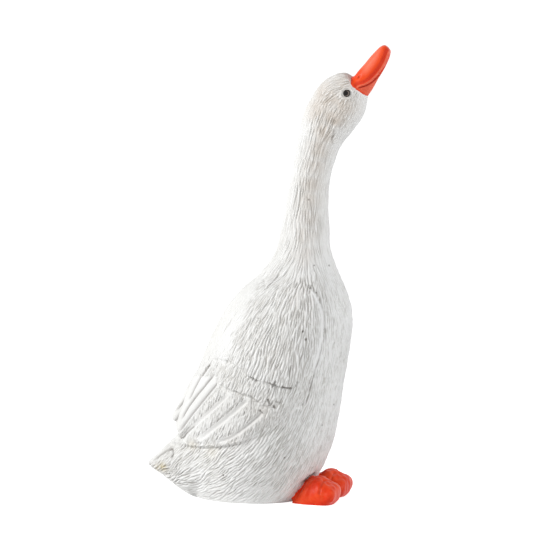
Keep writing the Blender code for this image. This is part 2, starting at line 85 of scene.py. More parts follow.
# The surface is made in one and then cut level, so that each section stays under the limit of triangles.
SECTIONS = [
    ("goose_base_section", 0.0, 29.0),
    ("goose_belly_section", 29.0, 67.0),
    ("goose_wing_section", 67.0, 108.0),
    ("goose_shoulder_section", 108.0, 154.0),
    ("goose_neck_section", 154.0, ABOVE_ALL),
]

# Rows across the body, neck, head and bill: back point, front point, share of the width. In the tail's
# rows the two points are the top and the bottom one.
BODY = [
    (-38.0, -4.0, 14.0, -4.0, 0.60),
    (-45.9, -1.6, 22.0, 0.0, 0.66),
    (-51.4, 3.0, 27.6, 6.2, 0.71),
    (-54.5, 10.0, 32.3, 14.1, 0.78),
    (-56.0, 18.3, 36.3, 21.4, 0.84),
    (-56.5, 26.9, 39.7, 29.4, 0.89),
    (-56.5, 36.8, 43.0, 39.4, 0.93),
    (-55.8, 46.7, 45.2, 49.4, 0.96),
    (-53.8, 58.0, 47.2, 60.7, 0.98),
    (-50.6, 70.0, 49.0, 72.6, 1.00),
    (-45.8, 83.3, 51.0, 85.8, 1.00),
    (-39.8, 96.7, 53.3, 99.1, 0.98),
    (-33.8, 110.0, 55.2, 112.3, 0.94),
    (-28.2, 121.3, 54.9, 124.2, 0.87),
    (-21.0, 132.1, 52.2, 134.7, 0.77),
    (-13.0, 141.0, 48.8, 143.8, 0.65),
    (-5.2, 149.0, 45.6, 151.7, 0.53),
    (1.2, 156.8, 43.0, 158.9, 0.44),
    (5.8, 165.1, 41.0, 167.4, 0.37),
]
NECK = [
    (8.0, 175.1, 40.8, 177.9, 1.20),
    (10.4, 186.4, 40.0, 189.1, 1.10),
    (12.6, 199.3, 40.2, 202.3, 1.03),
    (14.9, 212.2, 42.2, 216.2, 1.00),
    (17.1, 222.5, 45.2, 226.2, 1.00),
]
HEAD = [
    (18.7, 233.0, 49.2, 234.5, 0.93),
    (20.4, 242.7, 56.2, 243.3, 0.97),
    (22.4, 250.7, 61.9, 250.9, 1.00),
    (25.4, 258.2, 64.6, 256.9, 1.00),
    (29.5, 266.4, 65.4, 261.3, 0.97),
    (35.2, 274.2, 65.9, 264.2, 0.90),
    (42.5, 279.5, 66.1, 265.6, 0.79),
    (49.9, 281.6, 66.2, 266.2, 0.69),
    (54.6, 279.7, 66.0, 266.6, 0.60),
]
BILL = [
    (51.9, 278.5, 64.6, 265.0, 0.97),
    (56.9, 279.3, 67.3, 268.0, 1.00),
    (59.7, 282.4, 70.4, 273.0, 0.95),
    (63.4, 287.0, 73.4, 278.1, 0.89),
    (67.5, 291.8, 76.6, 283.4, 0.82),
    (71.6, 296.3, 79.3, 289.1, 0.74),
    (75.0, 299.5, 81.0, 294.1, 0.60),
    (77.6, 300.6, 80.8, 297.6, 0.33),
]
TAIL = [
    (-35.8, 50.0, -35.8, -2.2, 1.11),
    (-48.5, 46.5, -48.5, -1.0, 1.00),
    (-56.0, 42.8, -55.9, 2.4, 0.87),
    (-62.5, 37.6, -62.6, 6.9, 0.72),
    (-68.5, 33.2, -68.6, 11.2, 0.57),
    (-73.6, 27.8, -74.0, 14.5, 0.41),
    (-78.1, 24.3, -78.4, 17.2, 0.25),
    (-80.6, 22.6, -80.7, 19.6, 0.12),
]
# Rows across a wing: middle point, half height, distance out, lean, share of the lump.
WING = [
    (21.0, 133.0, 12.0, 26.0, 8.0, 0.70),
    (9.0, 114.0, 23.0, 32.0, 17.0, 0.95),
    (-4.0, 93.0, 26.0, 33.5, 19.0, 1.10),
    (-18.0, 75.0, 25.3, 31.0, 17.0, 1.25),
    (-31.5, 61.5, 21.0, 25.0, 12.0, 1.30),
    (-43.5, 51.0, 14.0, 17.5, 6.0, 1.10),
    (-54.5, 43.0, 6.0, 11.5, 2.0, 0.75),
]
# Rows across a foot: place along it, middle height, half height, share of the width.
FOOT = [
    (20.5, -1.0, 4.0, 0.50),
    (25.5, 1.0, 7.0, 0.66),
    (30.0, 3.5, 10.5, 0.80),
    (34.5, 5.5, 11.8, 0.88),
    (39.0, 6.0, 11.7, 0.94),
    (43.0, 5.9, 10.0, 0.99),
    (46.3, 6.2, 7.8, 1.00),
    (48.6, 6.4, 5.9, 0.95),
    (50.2, 6.6, 3.9, 0.82),
    (51.0, 6.8, 1.8, 0.60),
]
SHOULDER = (20.0, 140.0)
# Outline of the folded wing, closed far behind the tail and above the back.
WING_EDGE = [
    (22.0, 158.0),
    (29.2, 149.2),
    (33.9, 146.0),
    (39.2, 140.5),
    (42.6, 133.7),
    (44.6, 126.5),
    (44.9, 116.6),
    (43.9, 110.0),
    (41.2, 98.7),
    (37.8, 87.0),
    (33.0, 73.5),
    (22.5, 60.6),
    (3.7, 48.5),
    (-11.0, 41.0),
    (-24.4, 37.6),
    (-35.1, 36.9),
    (-46.0, 36.6),
    (-56.0, 37.8),
    (-80.0, 46.0),
    (-80.0, 160.0),
]
# Lower edges of the two rows of covert feathers, from the back to the front.
TIERS = [
    [
        (-36.0, 97.0),
        (-29.0, 95.5),
        (-17.0, 94.2),
        (-10.5, 90.0),
        (-3.1, 84.6),
        (9.3, 80.8),
        (22.5, 78.4),
        (31.0, 84.0),
    ],
    [(-31.0, 86.5), (-22.0, 78.5), (-14.8, 75.3), (-4.1, 72.0), (3.2, 67.5), (10.0, 66.0), (15.0, 60.0)],
]
# Short deep slots where covert feathers end: start, end, strength, which sets both their depth and the
# painted shade in them.
SLOTS = [
    ((-3.4, 84.6), (0.6, 82.6), 0.55),
    ((6.0, 82.2), (8.4, 81.4), 0.30),
    ((8.8, 81.2), (12.2, 80.2), 0.75),
    ((12.4, 82.6), (10.8, 79.4), 0.60),
    ((14.0, 79.2), (16.8, 78.9), 0.35),
    ((17.0, 79.0), (22.6, 78.3), 0.85),
    ((25.4, 79.8), (26.4, 82.6), 0.40),
    ((-14.6, 75.6), (-10.6, 73.8), 0.25),
    ((-4.2, 72.6), (-0.6, 70.4), 0.40),
    ((0.6, 69.4), (3.0, 68.4), 0.20),
    ((7.8, 70.8), (8.6, 68.6), 0.70),
    ((9.6, 68.6), (8.2, 67.0), 0.55),
    ((11.0, 67.0), (12.0, 65.8), 0.65),
    ((13.0, 69.6), (15.0, 69.2), 0.35),
    ((2.2, 63.4), (4.2, 61.8), 0.65),
]
# Grooves between the long flight feathers, from the coverts to the tips, with their half width and depth.
FLIGHT = [
    ([(-31.3, 89.8), (-35.7, 83.5), (-43.3, 69.7)], 0.55, 0.7),
    ([(-27.7, 84.6), (-33.9, 77.0), (-42.4, 66.3), (-48.8, 55.2)], 0.60, 0.9),
    ([(-25.0, 79.4), (-32.1, 71.3), (-41.0, 60.2), (-51.2, 46.4)], 0.75, 1.1),
    ([(-17.9, 73.5), (-27.7, 64.1), (-37.5, 55.0), (-46.8, 45.6), (-48.4, 41.2)], 1.45, 1.5),
    ([(-5.5, 70.7), (-15.2, 61.7), (-25.9, 52.7), (-38.4, 42.3)], 1.75, 1.7),
    ([(4.3, 62.6), (-4.6, 54.1), (-15.2, 46.0), (-26.0, 41.4)], 1.35, 1.2),
]
WING_FRONT = [(33.0, 147.0), (36.0, 144.5), (39.6, 140.3), (43.0, 133.7), (45.0, 126.5), (45.3, 116.6)]
WING_FRONT += [(43.8, 106.0)]
WING_BELOW = [(-50.0, 37.6), (-41.0, 36.6), (-28.6, 36.8), (-19.7, 38.4), (-11.7, 40.4), (-1.0, 45.0)]
# Other creases of the wing: their path, depth, half width, and how dark the painted shade in them is.
WING_CREASES = [
    (WING_FRONT, 0.95, 0.75, 0.12),
    ([(44.0, 112.0), (41.4, 98.7), (38.5, 90.0), (33.5, 71.4), (29.0, 66.0)], 0.85, 0.65, 0.24),
    (WING_BELOW, 0.40, 0.50, 0.20),
    ([(-29.0, 92.5), (-36.5, 82.0), (-44.0, 67.5)], 0.45, 0.52, 0.48),
    ([(-26.0, 87.0), (-34.2, 76.6), (-42.4, 66.3), (-49.5, 53.8)], 0.45, 0.52, 0.56),
    ([(-24.0, 80.8), (-32.1, 71.3), (-41.0, 60.2), (-52.2, 45.0)], 0.40, 0.55, 0.48),
    ([(-40.5, 51.4), (-46.8, 45.6), (-50.0, 40.6)], 0.45, 0.55, 0.60),
    ([(6.3, 64.6), (-4.6, 54.1), (-14.0, 46.8)], 0.35, 0.60, 0.30),
]
TAIL_FEATHER = [(-76.6, 22.2), (-71.1, 27.1), (-63.6, 31.9), (-60.9, 31.7), (-60.5, 29.3), (-62.2, 25.0)]
# Creases elsewhere, in the plain side view: mantle, cheek and neck, tail, the fold of a foot, the ankles,
# with painted shade in them as in the wing's.
CREASES = [
    ([(12.4, 151.8), (9.2, 146.4), (5.4, 139.8)], 0.50, 0.60, 0.20),
    ([(0.6, 147.4), (3.5, 143.5), (5.8, 139.6)], 0.35, 0.70, 0.05),
    ([(53.0, 252.6), (51.0, 249.2), (49.2, 246.0)], 0.60, 0.50, 0.24),
    ([(46.6, 245.6), (45.3, 240.5), (44.4, 235.5)], 0.60, 0.50, 0.18),
    ([(41.6, 231.0), (40.2, 226.5), (39.4, 222.0)], 0.50, 0.45, 0.16),
    (TAIL_FEATHER, 0.60, 0.62, 0.58),
    ([(-62.2, 25.0), (-64.0, 19.7), (-68.6, 17.8)], 0.4, 0.65, 0.32),
    ([(-69.5, 22.5), (-66.0, 27.4)], 0.35, 0.45, 0.25),
    ([(-67.0, 23.0), (-64.2, 27.6)], 0.35, 0.45, 0.25),
    ([(-56.0, 21.0), (-64.0, 15.5), (-71.0, 14.8)], 0.6, 0.7, 0.20),
    ([(42.6, 18.5), (41.4, 13.0), (40.4, 7.0)], 0.8, 0.9, 0.25),
    ([(27.6, 12.8), (29.6, 15.4), (31.0, 16.4), (34.4, 19.2)], 0.6, 0.75, 0.85),
    ([(34.4, 19.2), (37.4, 21.4)], 0.4, 0.6, 0.55),
    ([(36.8, 20.2), (38.3, 22.0), (39.6, 25.4)], 0.5, 0.7, 0.80),
]
# Small dirty holes left by bubbles: place as the wing is seen, and half width.
PITS = [
    (30.3, 115.4, 0.60),
    (32.0, 110.4, 0.65),
    (38.4, 159.0, 0.45),
    (39.6, 141.3, 0.45),
    (48.6, 159.2, 0.45),
    (34.8, 202.0, 0.55),
    (51.9, 67.4, 0.40),
    (18.4, 32.0, 0.50),
    (-22.6, 19.0, 0.45),
    (1.9, 122.9, 0.40),
    (43.9, 53.8, 0.40),
]
# The way in which the feathers lie in side view: x, z, then the direction toward the tail.
LIE = [
    (47.0, 274.0, -0.85, -0.25),
    (45.0, 266.0, -0.70, -0.60),
    (33.0, 268.0, -0.42, -0.88),
    (40.0, 256.0, -0.26, -0.96),
    (55.0, 260.0, -0.25, -0.80),
    (30.0, 248.0, -0.16, -0.98),
    (50.0, 244.0, -0.48, -0.86),
    (31.0, 225.0, -0.22, -0.97),
    (27.0, 200.0, -0.12, -0.99),
    (25.0, 178.0, -0.02, -1.00),
    (12.0, 160.0, -0.42, -0.90),
    (40.0, 158.0, 0.20, -0.98),
    (0.0, 145.0, -0.55, -0.83),
    (22.0, 140.0, -0.16, -0.98),
    (-15.0, 120.0, -0.44, -0.90),
    (12.0, 115.0, -0.25, -0.96),
    (38.0, 112.0, -0.12, -0.99),
    (54.0, 120.0, 0.02, -1.00),
    (-30.0, 98.0, -0.46, -0.88),
    (0.0, 92.0, -0.24, -0.96),
    (28.0, 88.0, -0.20, -0.97),
    (-42.0, 68.0, -0.50, -0.86),
    (-25.0, 62.0, -0.58, -0.81),
    (-5.0, 55.0, -0.60, -0.80),
    (48.0, 75.0, -0.25, -0.97),
    (25.0, 60.0, -0.45, -0.89),
    (10.0, 40.0, -0.58, -0.81),
    (38.0, 35.0, -0.38, -0.92),
    (-20.0, 30.0, -0.79, -0.60),
    (-45.0, 32.0, -0.82, -0.56),
    (-65.0, 22.0, -0.82, -0.58),
    (-40.0, 12.0, -0.86, -0.50),
    (0.0, 12.0, -0.70, -0.68),
    (25.0, 14.0, -0.45, -0.75),
]
# Carved strokes for each part of the plumage: length, spacing, depth and half width in millimetres.
BARE, CROWN, CHEEK, THROAT, MANTLE, COVERTS, SECOND_ROW, VANES, BREAST, FLANK, RUMP = range(11)
STROKES = {
    CROWN: (9.0, 2.2, 0.80, 0.47),
    CHEEK: (5.5, 2.5, 0.56, 0.46),
    THROAT: (18.0, 2.3, 0.86, 0.46),
    MANTLE: (9.0, 2.6, 0.60, 0.48),
    COVERTS: (10.0, 2.5, 1.00, 0.50),
    SECOND_ROW: (6.5, 2.1, 0.96, 0.49),
    VANES: (6.0, 1.9, 0.84, 0.45),
    BREAST: (9.5, 2.4, 0.98, 0.46),
    FLANK: (9.0, 2.4, 0.80, 0.45),
    RUMP: (9.5, 2.4, 1.00, 0.48),
}
EYE = (54.6, 269.2)
NOSTRIL = (61.4, 279.4)
MOUTH = [
    (61.9, 272.5),
    (66.0, 273.7),
    (69.8, 275.9),
    (72.6, 278.7),
    (75.3, 281.9),
    (78.0, 285.8),
    (80.2, 290.2),
    (82.0, 295.5),
]
# The line where the orange paint of the bill starts, from the forehead to the chin.
BILL_EDGE = [
    (48.5, 287.0),
    (53.8, 281.4),
    (56.2, 278.2),
    (57.2, 274.8),
    (58.6, 272.8),
    (61.6, 270.9),
    (66.7, 266.3),
    (74.0, 258.6),
]
BILL_WAY = (0.72, 0.69)
ANKLE_X = 33.0
# Warm and yellow stains in side view: place, reach, strength. The warm ones are partly painted shade, in the
# cheek's hollow and in a band down the neck.
WARM_SPOTS = [
    (54.0, 261.0, 8.0, 0.85),
    (47.0, 254.0, 8.0, 0.85),
    (42.0, 266.0, 11.0, 0.75),
    (52.0, 276.0, 8.0, 0.62),
    (36.0, 258.0, 10.0, 0.60),
    (40.0, 243.0, 7.5, 0.75),
    (36.0, 232.0, 7.5, 0.62),
    (33.0, 221.0, 7.5, 0.56),
    (31.0, 209.0, 7.5, 0.50),
    (30.0, 198.0, 7.5, 0.46),
    (29.0, 187.0, 7.5, 0.42),
    (29.0, 176.0, 8.0, 0.36),
    (28.0, 164.0, 9.0, 0.28),
    (28.0, 140.0, 12.0, 0.14),
    (16.0, 98.0, 12.0, 0.12),
    (6.0, 64.0, 10.0, 0.16),
    (-12.0, 44.0, 9.0, 0.14),
]
YELLOW_SPOTS = [
    (-68.5, 19.8, 3.0, 1.00),
    (-72.8, 18.6, 2.6, 0.60),
    (-45.0, 37.0, 4.0, 0.30),
    (-30.0, 34.5, 5.0, 0.22),
]


# Reading and moving points

def between(rows, steps):
    """Rows of numbers with smooth steps added between them, by Catmull-Rom."""
    rows = np.array(rows, dtype=float)
    out = []
    for i in range(len(rows) - 1):
        a = rows[max(i - 1, 0)]
        b = rows[i]
        c = rows[i + 1]
        d = rows[min(i + 2, len(rows) - 1)]
        for step in range(steps):
            t = step / steps
            square = (2 * a - 5 * b + 4 * c - d) * t**2
            cube = (3 * b - a - 3 * c + d) * t**3
            out.append(0.5 * (2 * b + (c - a) * t + square + cube))
    out.append(rows[-1])
    return out


def smoothstep(low, high, value):
    t = np.clip((value - low) / (high - low), 0.0, 1.0)
    return t * t * (3 - 2 * t)


def path_distance(x, z, path, closed=False):
    """Distance to a path, the share of the way along it, and which side of it: + is left of its direction."""
    path = list(path)
    if closed:
        path.append(path[0])
    best = np.full(len(x), 1e9)
    share = np.zeros(len(x))
    side = np.ones(len(x))
    count = len(path) - 1
    for i, ((ax, az), (bx, bz)) in enumerate(zip(path, path[1:])):
        dx = bx - ax
        dz = bz - az
        t = np.clip(((x - ax) * dx + (z - az) * dz) / (dx * dx + dz * dz), 0.0, 1.0)
        away = np.hypot(x - ax - t * dx, z - az - t * dz)
        closer = away < best
        best = np.where(closer, away, best)
        share = np.where(closer, (i + t) / count, share)
        cross = dx * (z - az) - dz * (x - ax)
        side = np.where(closer, np.where(cross >= 0, 1.0, -1.0), side)
    return best, share, side


def inside_outline(x, z, outline):
    inside = np.zeros(len(x), dtype=bool)
    for (ax, az), (bx, bz) in zip(outline, outline[1:] + outline[:1]):
        crosses = (az > z) != (bz > z)
        height = np.where(bz == az, 1.0, bz - az)
        inside ^= crosses & (x < (bx - ax) * (z - az) / height + ax)
    return inside


def points_of(mesh):
    points = np.empty(len(mesh.vertices) * 3)
    mesh.vertices.foreach_get("co", points)
    return points.reshape(-1, 3) / MM


def normals_of(mesh):
    normals = np.empty(len(mesh.vertices) * 3, dtype=np.float32)
    mesh.vertex_normals.foreach_get("vector", normals)
    return normals.reshape(-1, 3).astype(float)


def pushed(mesh, amounts, normals=None):
    normals = normals_of(mesh) if normals is None else normals
    points = points_of(mesh) + normals * amounts[:, None]
    mesh.vertices.foreach_set("co", (points * MM).ravel())
    mesh.update()


def side_view(points):
    """Side-drawing coordinates, and those of the wing, with the far wing brought back onto the near one."""
    x = points[:, 0] / SIZE
    z = points[:, 2] / SIZE
    # The wing was drawn as it is seen from a little in front and above, at WING_DEPTH from the middle.
    proud = np.abs(points[:, 1]) - WING_DEPTH
    seen_x = x - proud * NEARER_AHEAD
    seen_z = z - proud * NEARER_UP
    cosine = math.cos(math.radians(FAR_WING_LIFT))
    sine = math.sin(math.radians(FAR_WING_LIFT))
    dx = (seen_x - SHOULDER[0]) / FAR_WING_REACH
    dz = (seen_z - SHOULDER[1]) / FAR_WING_REACH
    far = points[:, 1] > 0
    wing_x = np.where(far, SHOULDER[0] + dx * cosine - dz * sine, seen_x)
    wing_z = np.where(far, SHOULDER[1] + dx * sine + dz * cosine, seen_z)
    return x, z, wing_x, wing_z


def folded(x, z, lift, reach):
    """A point of the wing with its tail end turned up about the shoulder and drawn out from it."""
    dx = (x - SHOULDER[0]) * reach
    dz = (z - SHOULDER[1]) * reach
    cosine = math.cos(math.radians(lift))
    sine = math.sin(math.radians(lift))
    return SHOULDER[0] + dx * cosine + dz * sine, SHOULDER[1] + dz * cosine - dx * sine


# The rough forms, each a skin bridged from ring to ring

def bridged(form, rings):
    """Closed skin over rings of points, each ring a circle that is pulled to its place."""
    before = None
    for i, ring in enumerate(rings):
        end = i in (0, len(rings) - 1)
        circle = bmesh.ops.create_circle(form, cap_ends=end, cap_tris=False, segments=len(ring), radius=1.0)
        made = circle["verts"]
        for vert, point in zip(made, ring):
            vert.co = Vector(point) * MM
        around = set(made)
        edges = [edge for vert in made for edge in vert.link_edges if edge.other_vert(vert) in around]
        edges = list(dict.fromkeys(edges))
        if before:
            bmesh.ops.bridge_loops(form, edges=before + edges)
        before = edges


def profile_ring(row, width, fore=0.0, fullness=1.0, points=56):
    """Ring across the side profile, from its back point to its front point."""
    back_x, back_z, front_x, front_z, share = row
    ring = []
    for i in range(points):
        angle = 2 * math.pi * i / points
        along = math.cos(angle)
        side = math.copysign(abs(math.sin(angle)) ** fullness, math.sin(angle))
        x = (back_x + front_x) / 2 + (front_x - back_x) / 2 * along
        z = (back_z + front_z) / 2 + (front_z - back_z) / 2 * along
        ring.append((x * SIZE, share * width / 2 * side * (1 + fore * along), z * SIZE))
    return ring


def body_rings():
    joined = [(*row[:4], row[4] * BODY_WIDTH) for row in BODY]
    joined += [(*row[:4], row[4] * NECK_WIDTH) for row in NECK]
    joined += [(*row[:4], row[4] * HEAD_WIDTH) for row in HEAD]
    rows = between(joined, 4)
    return [profile_ring(row, 1.0, fore=0.10 if row[1] < 150 else 0.0, fullness=0.94) for row in rows]


def wing_rings(side, lift, reach):
    rings = []
    rows = between(WING, 4)
    for i, (x, z, half, out, lean, share) in enumerate(rows):
        before = rows[max(i - 1, 0)]
        after = rows[min(i + 1, len(rows) - 1)]
        way = Vector((after[0] - before[0], after[1] - before[1])).normalized()
        ring = []
        for k in range(32):
            angle = 2 * math.pi * k / 32
            px = x - way.y * half * math.cos(angle)
            pz = z + way.x * half * math.cos(angle)
            py = out + lean / 2 * math.cos(angle) + share * WING_LUMP / 2 * math.sin(angle)
            px, pz = folded(px, pz, lift, reach)
            ring.append((px * SIZE, side * py, pz * SIZE))
        rings.append(ring)
    return rings


def foot_rings(side, ahead):
    rings = []
    for x, middle, half, share in between(FOOT, 4):
        ring = []
        for k in range(32):
            angle = 2 * math.pi * k / 32
            y = math.copysign(abs(math.cos(angle)) ** 0.8, math.cos(angle)) * share * FOOT_WIDTH / 2
            splay = side * (x - 30.0) * 0.06
            z = middle + half * math.sin(angle)
            ring.append((x * SIZE + ahead, side * FOOT_SPREAD / 2 + splay + y, z * SIZE))
        rings.append(ring)
    return rings


def skin_of(name, *ring_lists):
    form = bmesh.new()
    for rings in ring_lists:
        bridged(form, rings)
    bmesh.ops.recalc_face_normals(form, faces=form.faces)
    mesh = bpy.data.meshes.new(name)
    form.to_mesh(mesh)
    form.free()
    return mesh


def finished_by(mesh, name, prepare):
    """The mesh after modifiers that prepare adds, as a new mesh."""
    thing = bpy.data.objects.new(name, mesh)
    bpy.context.scene.collection.objects.link(thing)
    prepare(thing)
    made = bpy.data.meshes.new_from_object(thing.evaluated_get(bpy.context.evaluated_depsgraph_get()))
    bpy.data.objects.remove(thing, do_unlink=True)
    return made


def fuse(thing):
    remesh = thing.modifiers.new("fuse", "REMESH")
    remesh.mode = "VOXEL"
    remesh.voxel_size = GRAIN * MM
    soften = thing.modifiers.new("soften", "SMOOTH")
    soften.factor = 0.5
    soften.iterations = round(7 * (1.1 / GRAIN) ** 2)


# The modelled forms: wings, feathers, face and feet

def wing_relief(points, normals):
    x, z, wx, wz = side_view(points)
    far = points[:, 1] > 0
    facing = smoothstep(np.where(far, 0.20, 0.03), np.where(far, 0.60, 0.30), np.abs(normals[:, 1]))
    facing *= 1 - smoothstep(140.0, 153.0, wz)
    away, share, side = path_distance(wx, wz, WING_EDGE, closed=True)
    signed = np.where(inside_outline(wx, wz, WING_EDGE), away, -away)
    # The lower front edge of the wing melts into the belly.
    melt = smoothstep(-14.0, 4.0, wx) * smoothstep(72.0, 56.0, wz)
    height = 1.1 * smoothstep(-0.6 - 2.5 * melt, 1.4 + 4.0 * melt, signed)
    height += 1.2 * smoothstep(-3.0 * melt, 6.0 + 3.0 * melt, signed)
    height += 0.62 * (1 - melt) * np.exp(-(((signed - 1.5) / 1.0) ** 2)) * smoothstep(152.0, 145.0, wz)
    on_wing = smoothstep(0.0, 3.0, signed)
    for path in TIERS:
        away, share, side = path_distance(wx, wz, between(path, 6))
        signed = away * side + 0.45 * np.sin(wx * 1.15) * np.sin(wz * 0.6 + 1.0)
        ends = smoothstep(0.0, 0.30, share) * (1 - smoothstep(0.88, 1.0, share))
        lip = smoothstep(14.0, 1.0, signed) * smoothstep(-0.6, 0.8, signed)
        under = np.exp(-(((signed + 0.8) / 0.9) ** 2))
        height += on_wing * ends * (1.15 * lip - 0.45 * under)
    for path, width, deep in FLIGHT:
        away, share, side = path_distance(wx, wz, between(path, 5))
        ends = smoothstep(0.0, 0.12, share) * (1 - smoothstep(0.93, 1.0, share))
        # Each feather slopes down to the next one, whose edge stands up: the slope lies in shade.
        signed = away * side - 0.55 * width
        over = np.where(signed > 0, 0.55, 1.75) * width
        height -= on_wing * ends * deep * np.exp(-((signed / over) ** 2))
    return height * facing


def cuts_and_pits(points, normals):
    """Depth of the slots, creases and small holes, and how dark the paint lies in them: painted shade in the
    slots, creases and flight channels, dirt in the holes.
    """
    x, z, wx, wz = side_view(points)
    facing = smoothstep(0.03, 0.25, np.abs(normals[:, 1]))
    depth = np.zeros(len(x))
    dark = np.zeros(len(x))
    for path, width, deep in FLIGHT:
        away, share, side = path_distance(wx, wz, between(path, 5))
        ends = smoothstep(0.0, 0.10, share) * (1 - smoothstep(0.80, 1.0, share))
        # The channels between the wide flight feathers are painted darker: painted shade.
        shade = np.exp(-(((away * side + 0.1 * width) / (0.9 * width)) ** 2))
        dark = np.maximum(dark, 0.17 * ends * shade * facing * (width > 1.0))
    for start, end, strength in SLOTS:
        away, share, side = path_distance(wx, wz, [start, end])
        cut = np.exp(-((away / 0.54) ** 2)) * facing
        depth = np.maximum(depth, (0.5 + 0.5 * strength) * cut)
        # Painted shade in the slot.
        dark = np.maximum(dark, strength * cut)
    drawn = [(wx, wz, *crease) for crease in WING_CREASES] + [(x, z, *crease) for crease in CREASES]
    for across, up, path, deep, half, painted_shade in drawn:
        away, share, side = path_distance(across, up, between(path, 5))
        ends = smoothstep(0.0, 0.15, share) * (1 - smoothstep(0.85, 1.0, share))
        cut = ends * np.exp(-((away / half) ** 2)) * facing
        depth = np.maximum(depth, deep * cut)
        # Painted shade along the crease.
        dark = np.maximum(dark, painted_shade * cut)
    for pit_x, pit_z, half in PITS:
        cut = np.exp(-((wx - pit_x) ** 2 + (wz - pit_z) ** 2) / half**2) * facing
        depth = np.maximum(depth, 0.5 * cut)
        dark = np.maximum(dark, 0.9 * cut)
    return depth, dark


def face_relief(points, normals, past_edge):
    x, z, wx, wz = side_view(points)
    facing = smoothstep(0.1, 0.4, np.abs(normals[:, 1]))
    from_eye = np.hypot(x - EYE[0], z - EYE[1])
    height = 0.8 * np.clip(1 - (from_eye / (EYE_RADIUS - 0.3)) ** 2, 0.0, 1.0) ** 0.5
    height -= 0.50 * np.exp(-(((from_eye - EYE_RADIUS) / 0.45) ** 2))
    height += 0.40 * np.exp(-(((from_eye - EYE_RADIUS - 1.2) / 0.7) ** 2))
    signed, share = from_mouth(x, z)
    ends = smoothstep(0.0, 0.08, share)
    height -= ends * 1.0 * np.exp(-((signed / 0.60) ** 2))
    height += ends * 0.50 * np.exp(-(((signed - 1.5) / 0.80) ** 2))
    height -= ends * 0.40 * smoothstep(0.4, 2.0, -signed) * smoothstep(0.0, 2.0, past_edge)
    along = (x - NOSTRIL[0]) * BILL_WAY[0] + (z - NOSTRIL[1]) * BILL_WAY[1]
    across = (z - NOSTRIL[1]) * BILL_WAY[0] - (x - NOSTRIL[0]) * BILL_WAY[1]
    height -= 0.7 * np.exp(-((along / 1.3) ** 2) - (across / 0.65) ** 2)
    height -= 0.45 * np.exp(-(((past_edge + 0.2) / 0.6) ** 2)) * (z > 258)
    return height * facing


def from_mouth(x, z):
    """Distance from the line of the mouth, + on the upper bill, and the share of the way along it."""
    away, share, side = path_distance(x, z, between(MOUTH, 5))
    return away * side, share


def foot_relief(points, on_foot):
    x = points[:, 0] / SIZE
    y = np.abs(points[:, 1])
    z = points[:, 2] / SIZE
    angle = np.arctan2(y - FOOT_SPREAD / 2, x - ANKLE_X + 14.0)
    ridges = np.cos(angle * 2 * math.pi / 0.50)
    ahead = smoothstep(ANKLE_X - 2.0, ANKLE_X + 12.0, x)
    toes = 0.6 * (0.5 * ridges - 0.1) * ahead
    folds = 0.42 * np.sin(x * 0.66 + 0.9 + 0.5 * np.sin(z * 0.35)) * smoothstep(10.0, 2.0, np.abs(z - 9.0))
    lumps = 0.20 * np.sin(x * 0.9 + 1.7) * np.sin(y * 1.1) + 0.03 * np.sin(x * 1.9 + y * 1.3 + z)
    return on_foot * (toes + folds + lumps) * smoothstep(0.0, 3.0, z)


def hand_unevenness(points):
    """Slow swells left by modelling by hand, under a third of a millimetre."""
    x, y, z = points.T
    swell = np.sin(x * 0.21 + 1.3 * np.sin(z * 0.11)) * np.sin(z * 0.17 + y * 0.12)
    swell += 0.6 * np.sin(x * 0.47 + y * 0.31 + 2.0) * np.sin(z * 0.39 - y * 0.23 + 0.5)
    return 0.16 * swell


def past_bill_edge(points):
    """How far each point lies past the line where the bill's paint starts."""
    x, z, wx, wz = side_view(points)
    away, share, side = path_distance(x, z, BILL_EDGE)
    return np.where(z > 240, away * side, -30.0)


def distance_to(mesh, points, near):
    skin = BVHTree.FromPolygons([v.co for v in mesh.vertices], [tuple(f.vertices) for f in mesh.polygons])
    away = np.full(len(points), 99.0)
    for i in np.nonzero(near)[0]:
        away[i] = skin.find_nearest(Vector(points[i]) * MM)[3] / MM
    return away


def foot_distance(points, feet):
    near = (points[:, 0] > 12.0) & (points[:, 2] < 26.0)
    return np.minimum(distance_to(feet[0], points, near), distance_to(feet[1], points, near))


# The carved plumage

def plumage_areas(points, on_foot, past_edge):
    """Which part of the plumage each point belongs to."""
    x, z, wx, wz = side_view(points)
    area = np.full(len(x), BREAST)
    area[(x < 12) & (z < 46)] = FLANK
    area[(x < -46) & (z < 44)] = RUMP
    area[(z > 150)] = THROAT
    area[z > 240] = CROWN
    area[(z > 232) & (x > 46) & (z < 266)] = CHEEK
    wing = inside_outline(wx, wz, WING_EDGE)
    area[wing & (wz < 150)] = COVERTS
    away, share, side = path_distance(wx, wz, between(TIERS[0], 6))
    area[wing & (side < 0) & (wz < 97)] = SECOND_ROW
    away, share, side = path_distance(wx, wz, between(TIERS[1], 6))
    area[wing & (side < 0) & (wz < 90)] = VANES
    area[(x < MANTLE_X - MANTLE_LEAN * (MANTLE_Z - z)) & (z > 92) & (z < 150)] = MANTLE
    away, share, side = path_distance(wx, wz, WING_EDGE, closed=True)
    area[wing & (away > 0.4) & (away < 2.0) & (wx > 36) & (wz > 90)] = BARE
    for path, width, deep in FLIGHT:
        away, share, side = path_distance(wx, wz, between(path, 5))
        area[wing & (away < 0.95 * width)] = BARE
    away, share, side = path_distance(wx, wz, between(FLIGHT[2][0], 5))
    area[wing & (side < 0) & (wz < 84) & (wx < -27)] = BARE
    away = np.hypot(x - EYE[0], z - EYE[1])
    area[(past_edge > -1.2) | ((z > 240) & (away < EYE_RADIUS + 1.6))] = BARE
    area[on_foot > 0.3] = BARE
    area[points[:, 2] < 1.5] = BARE
    return area


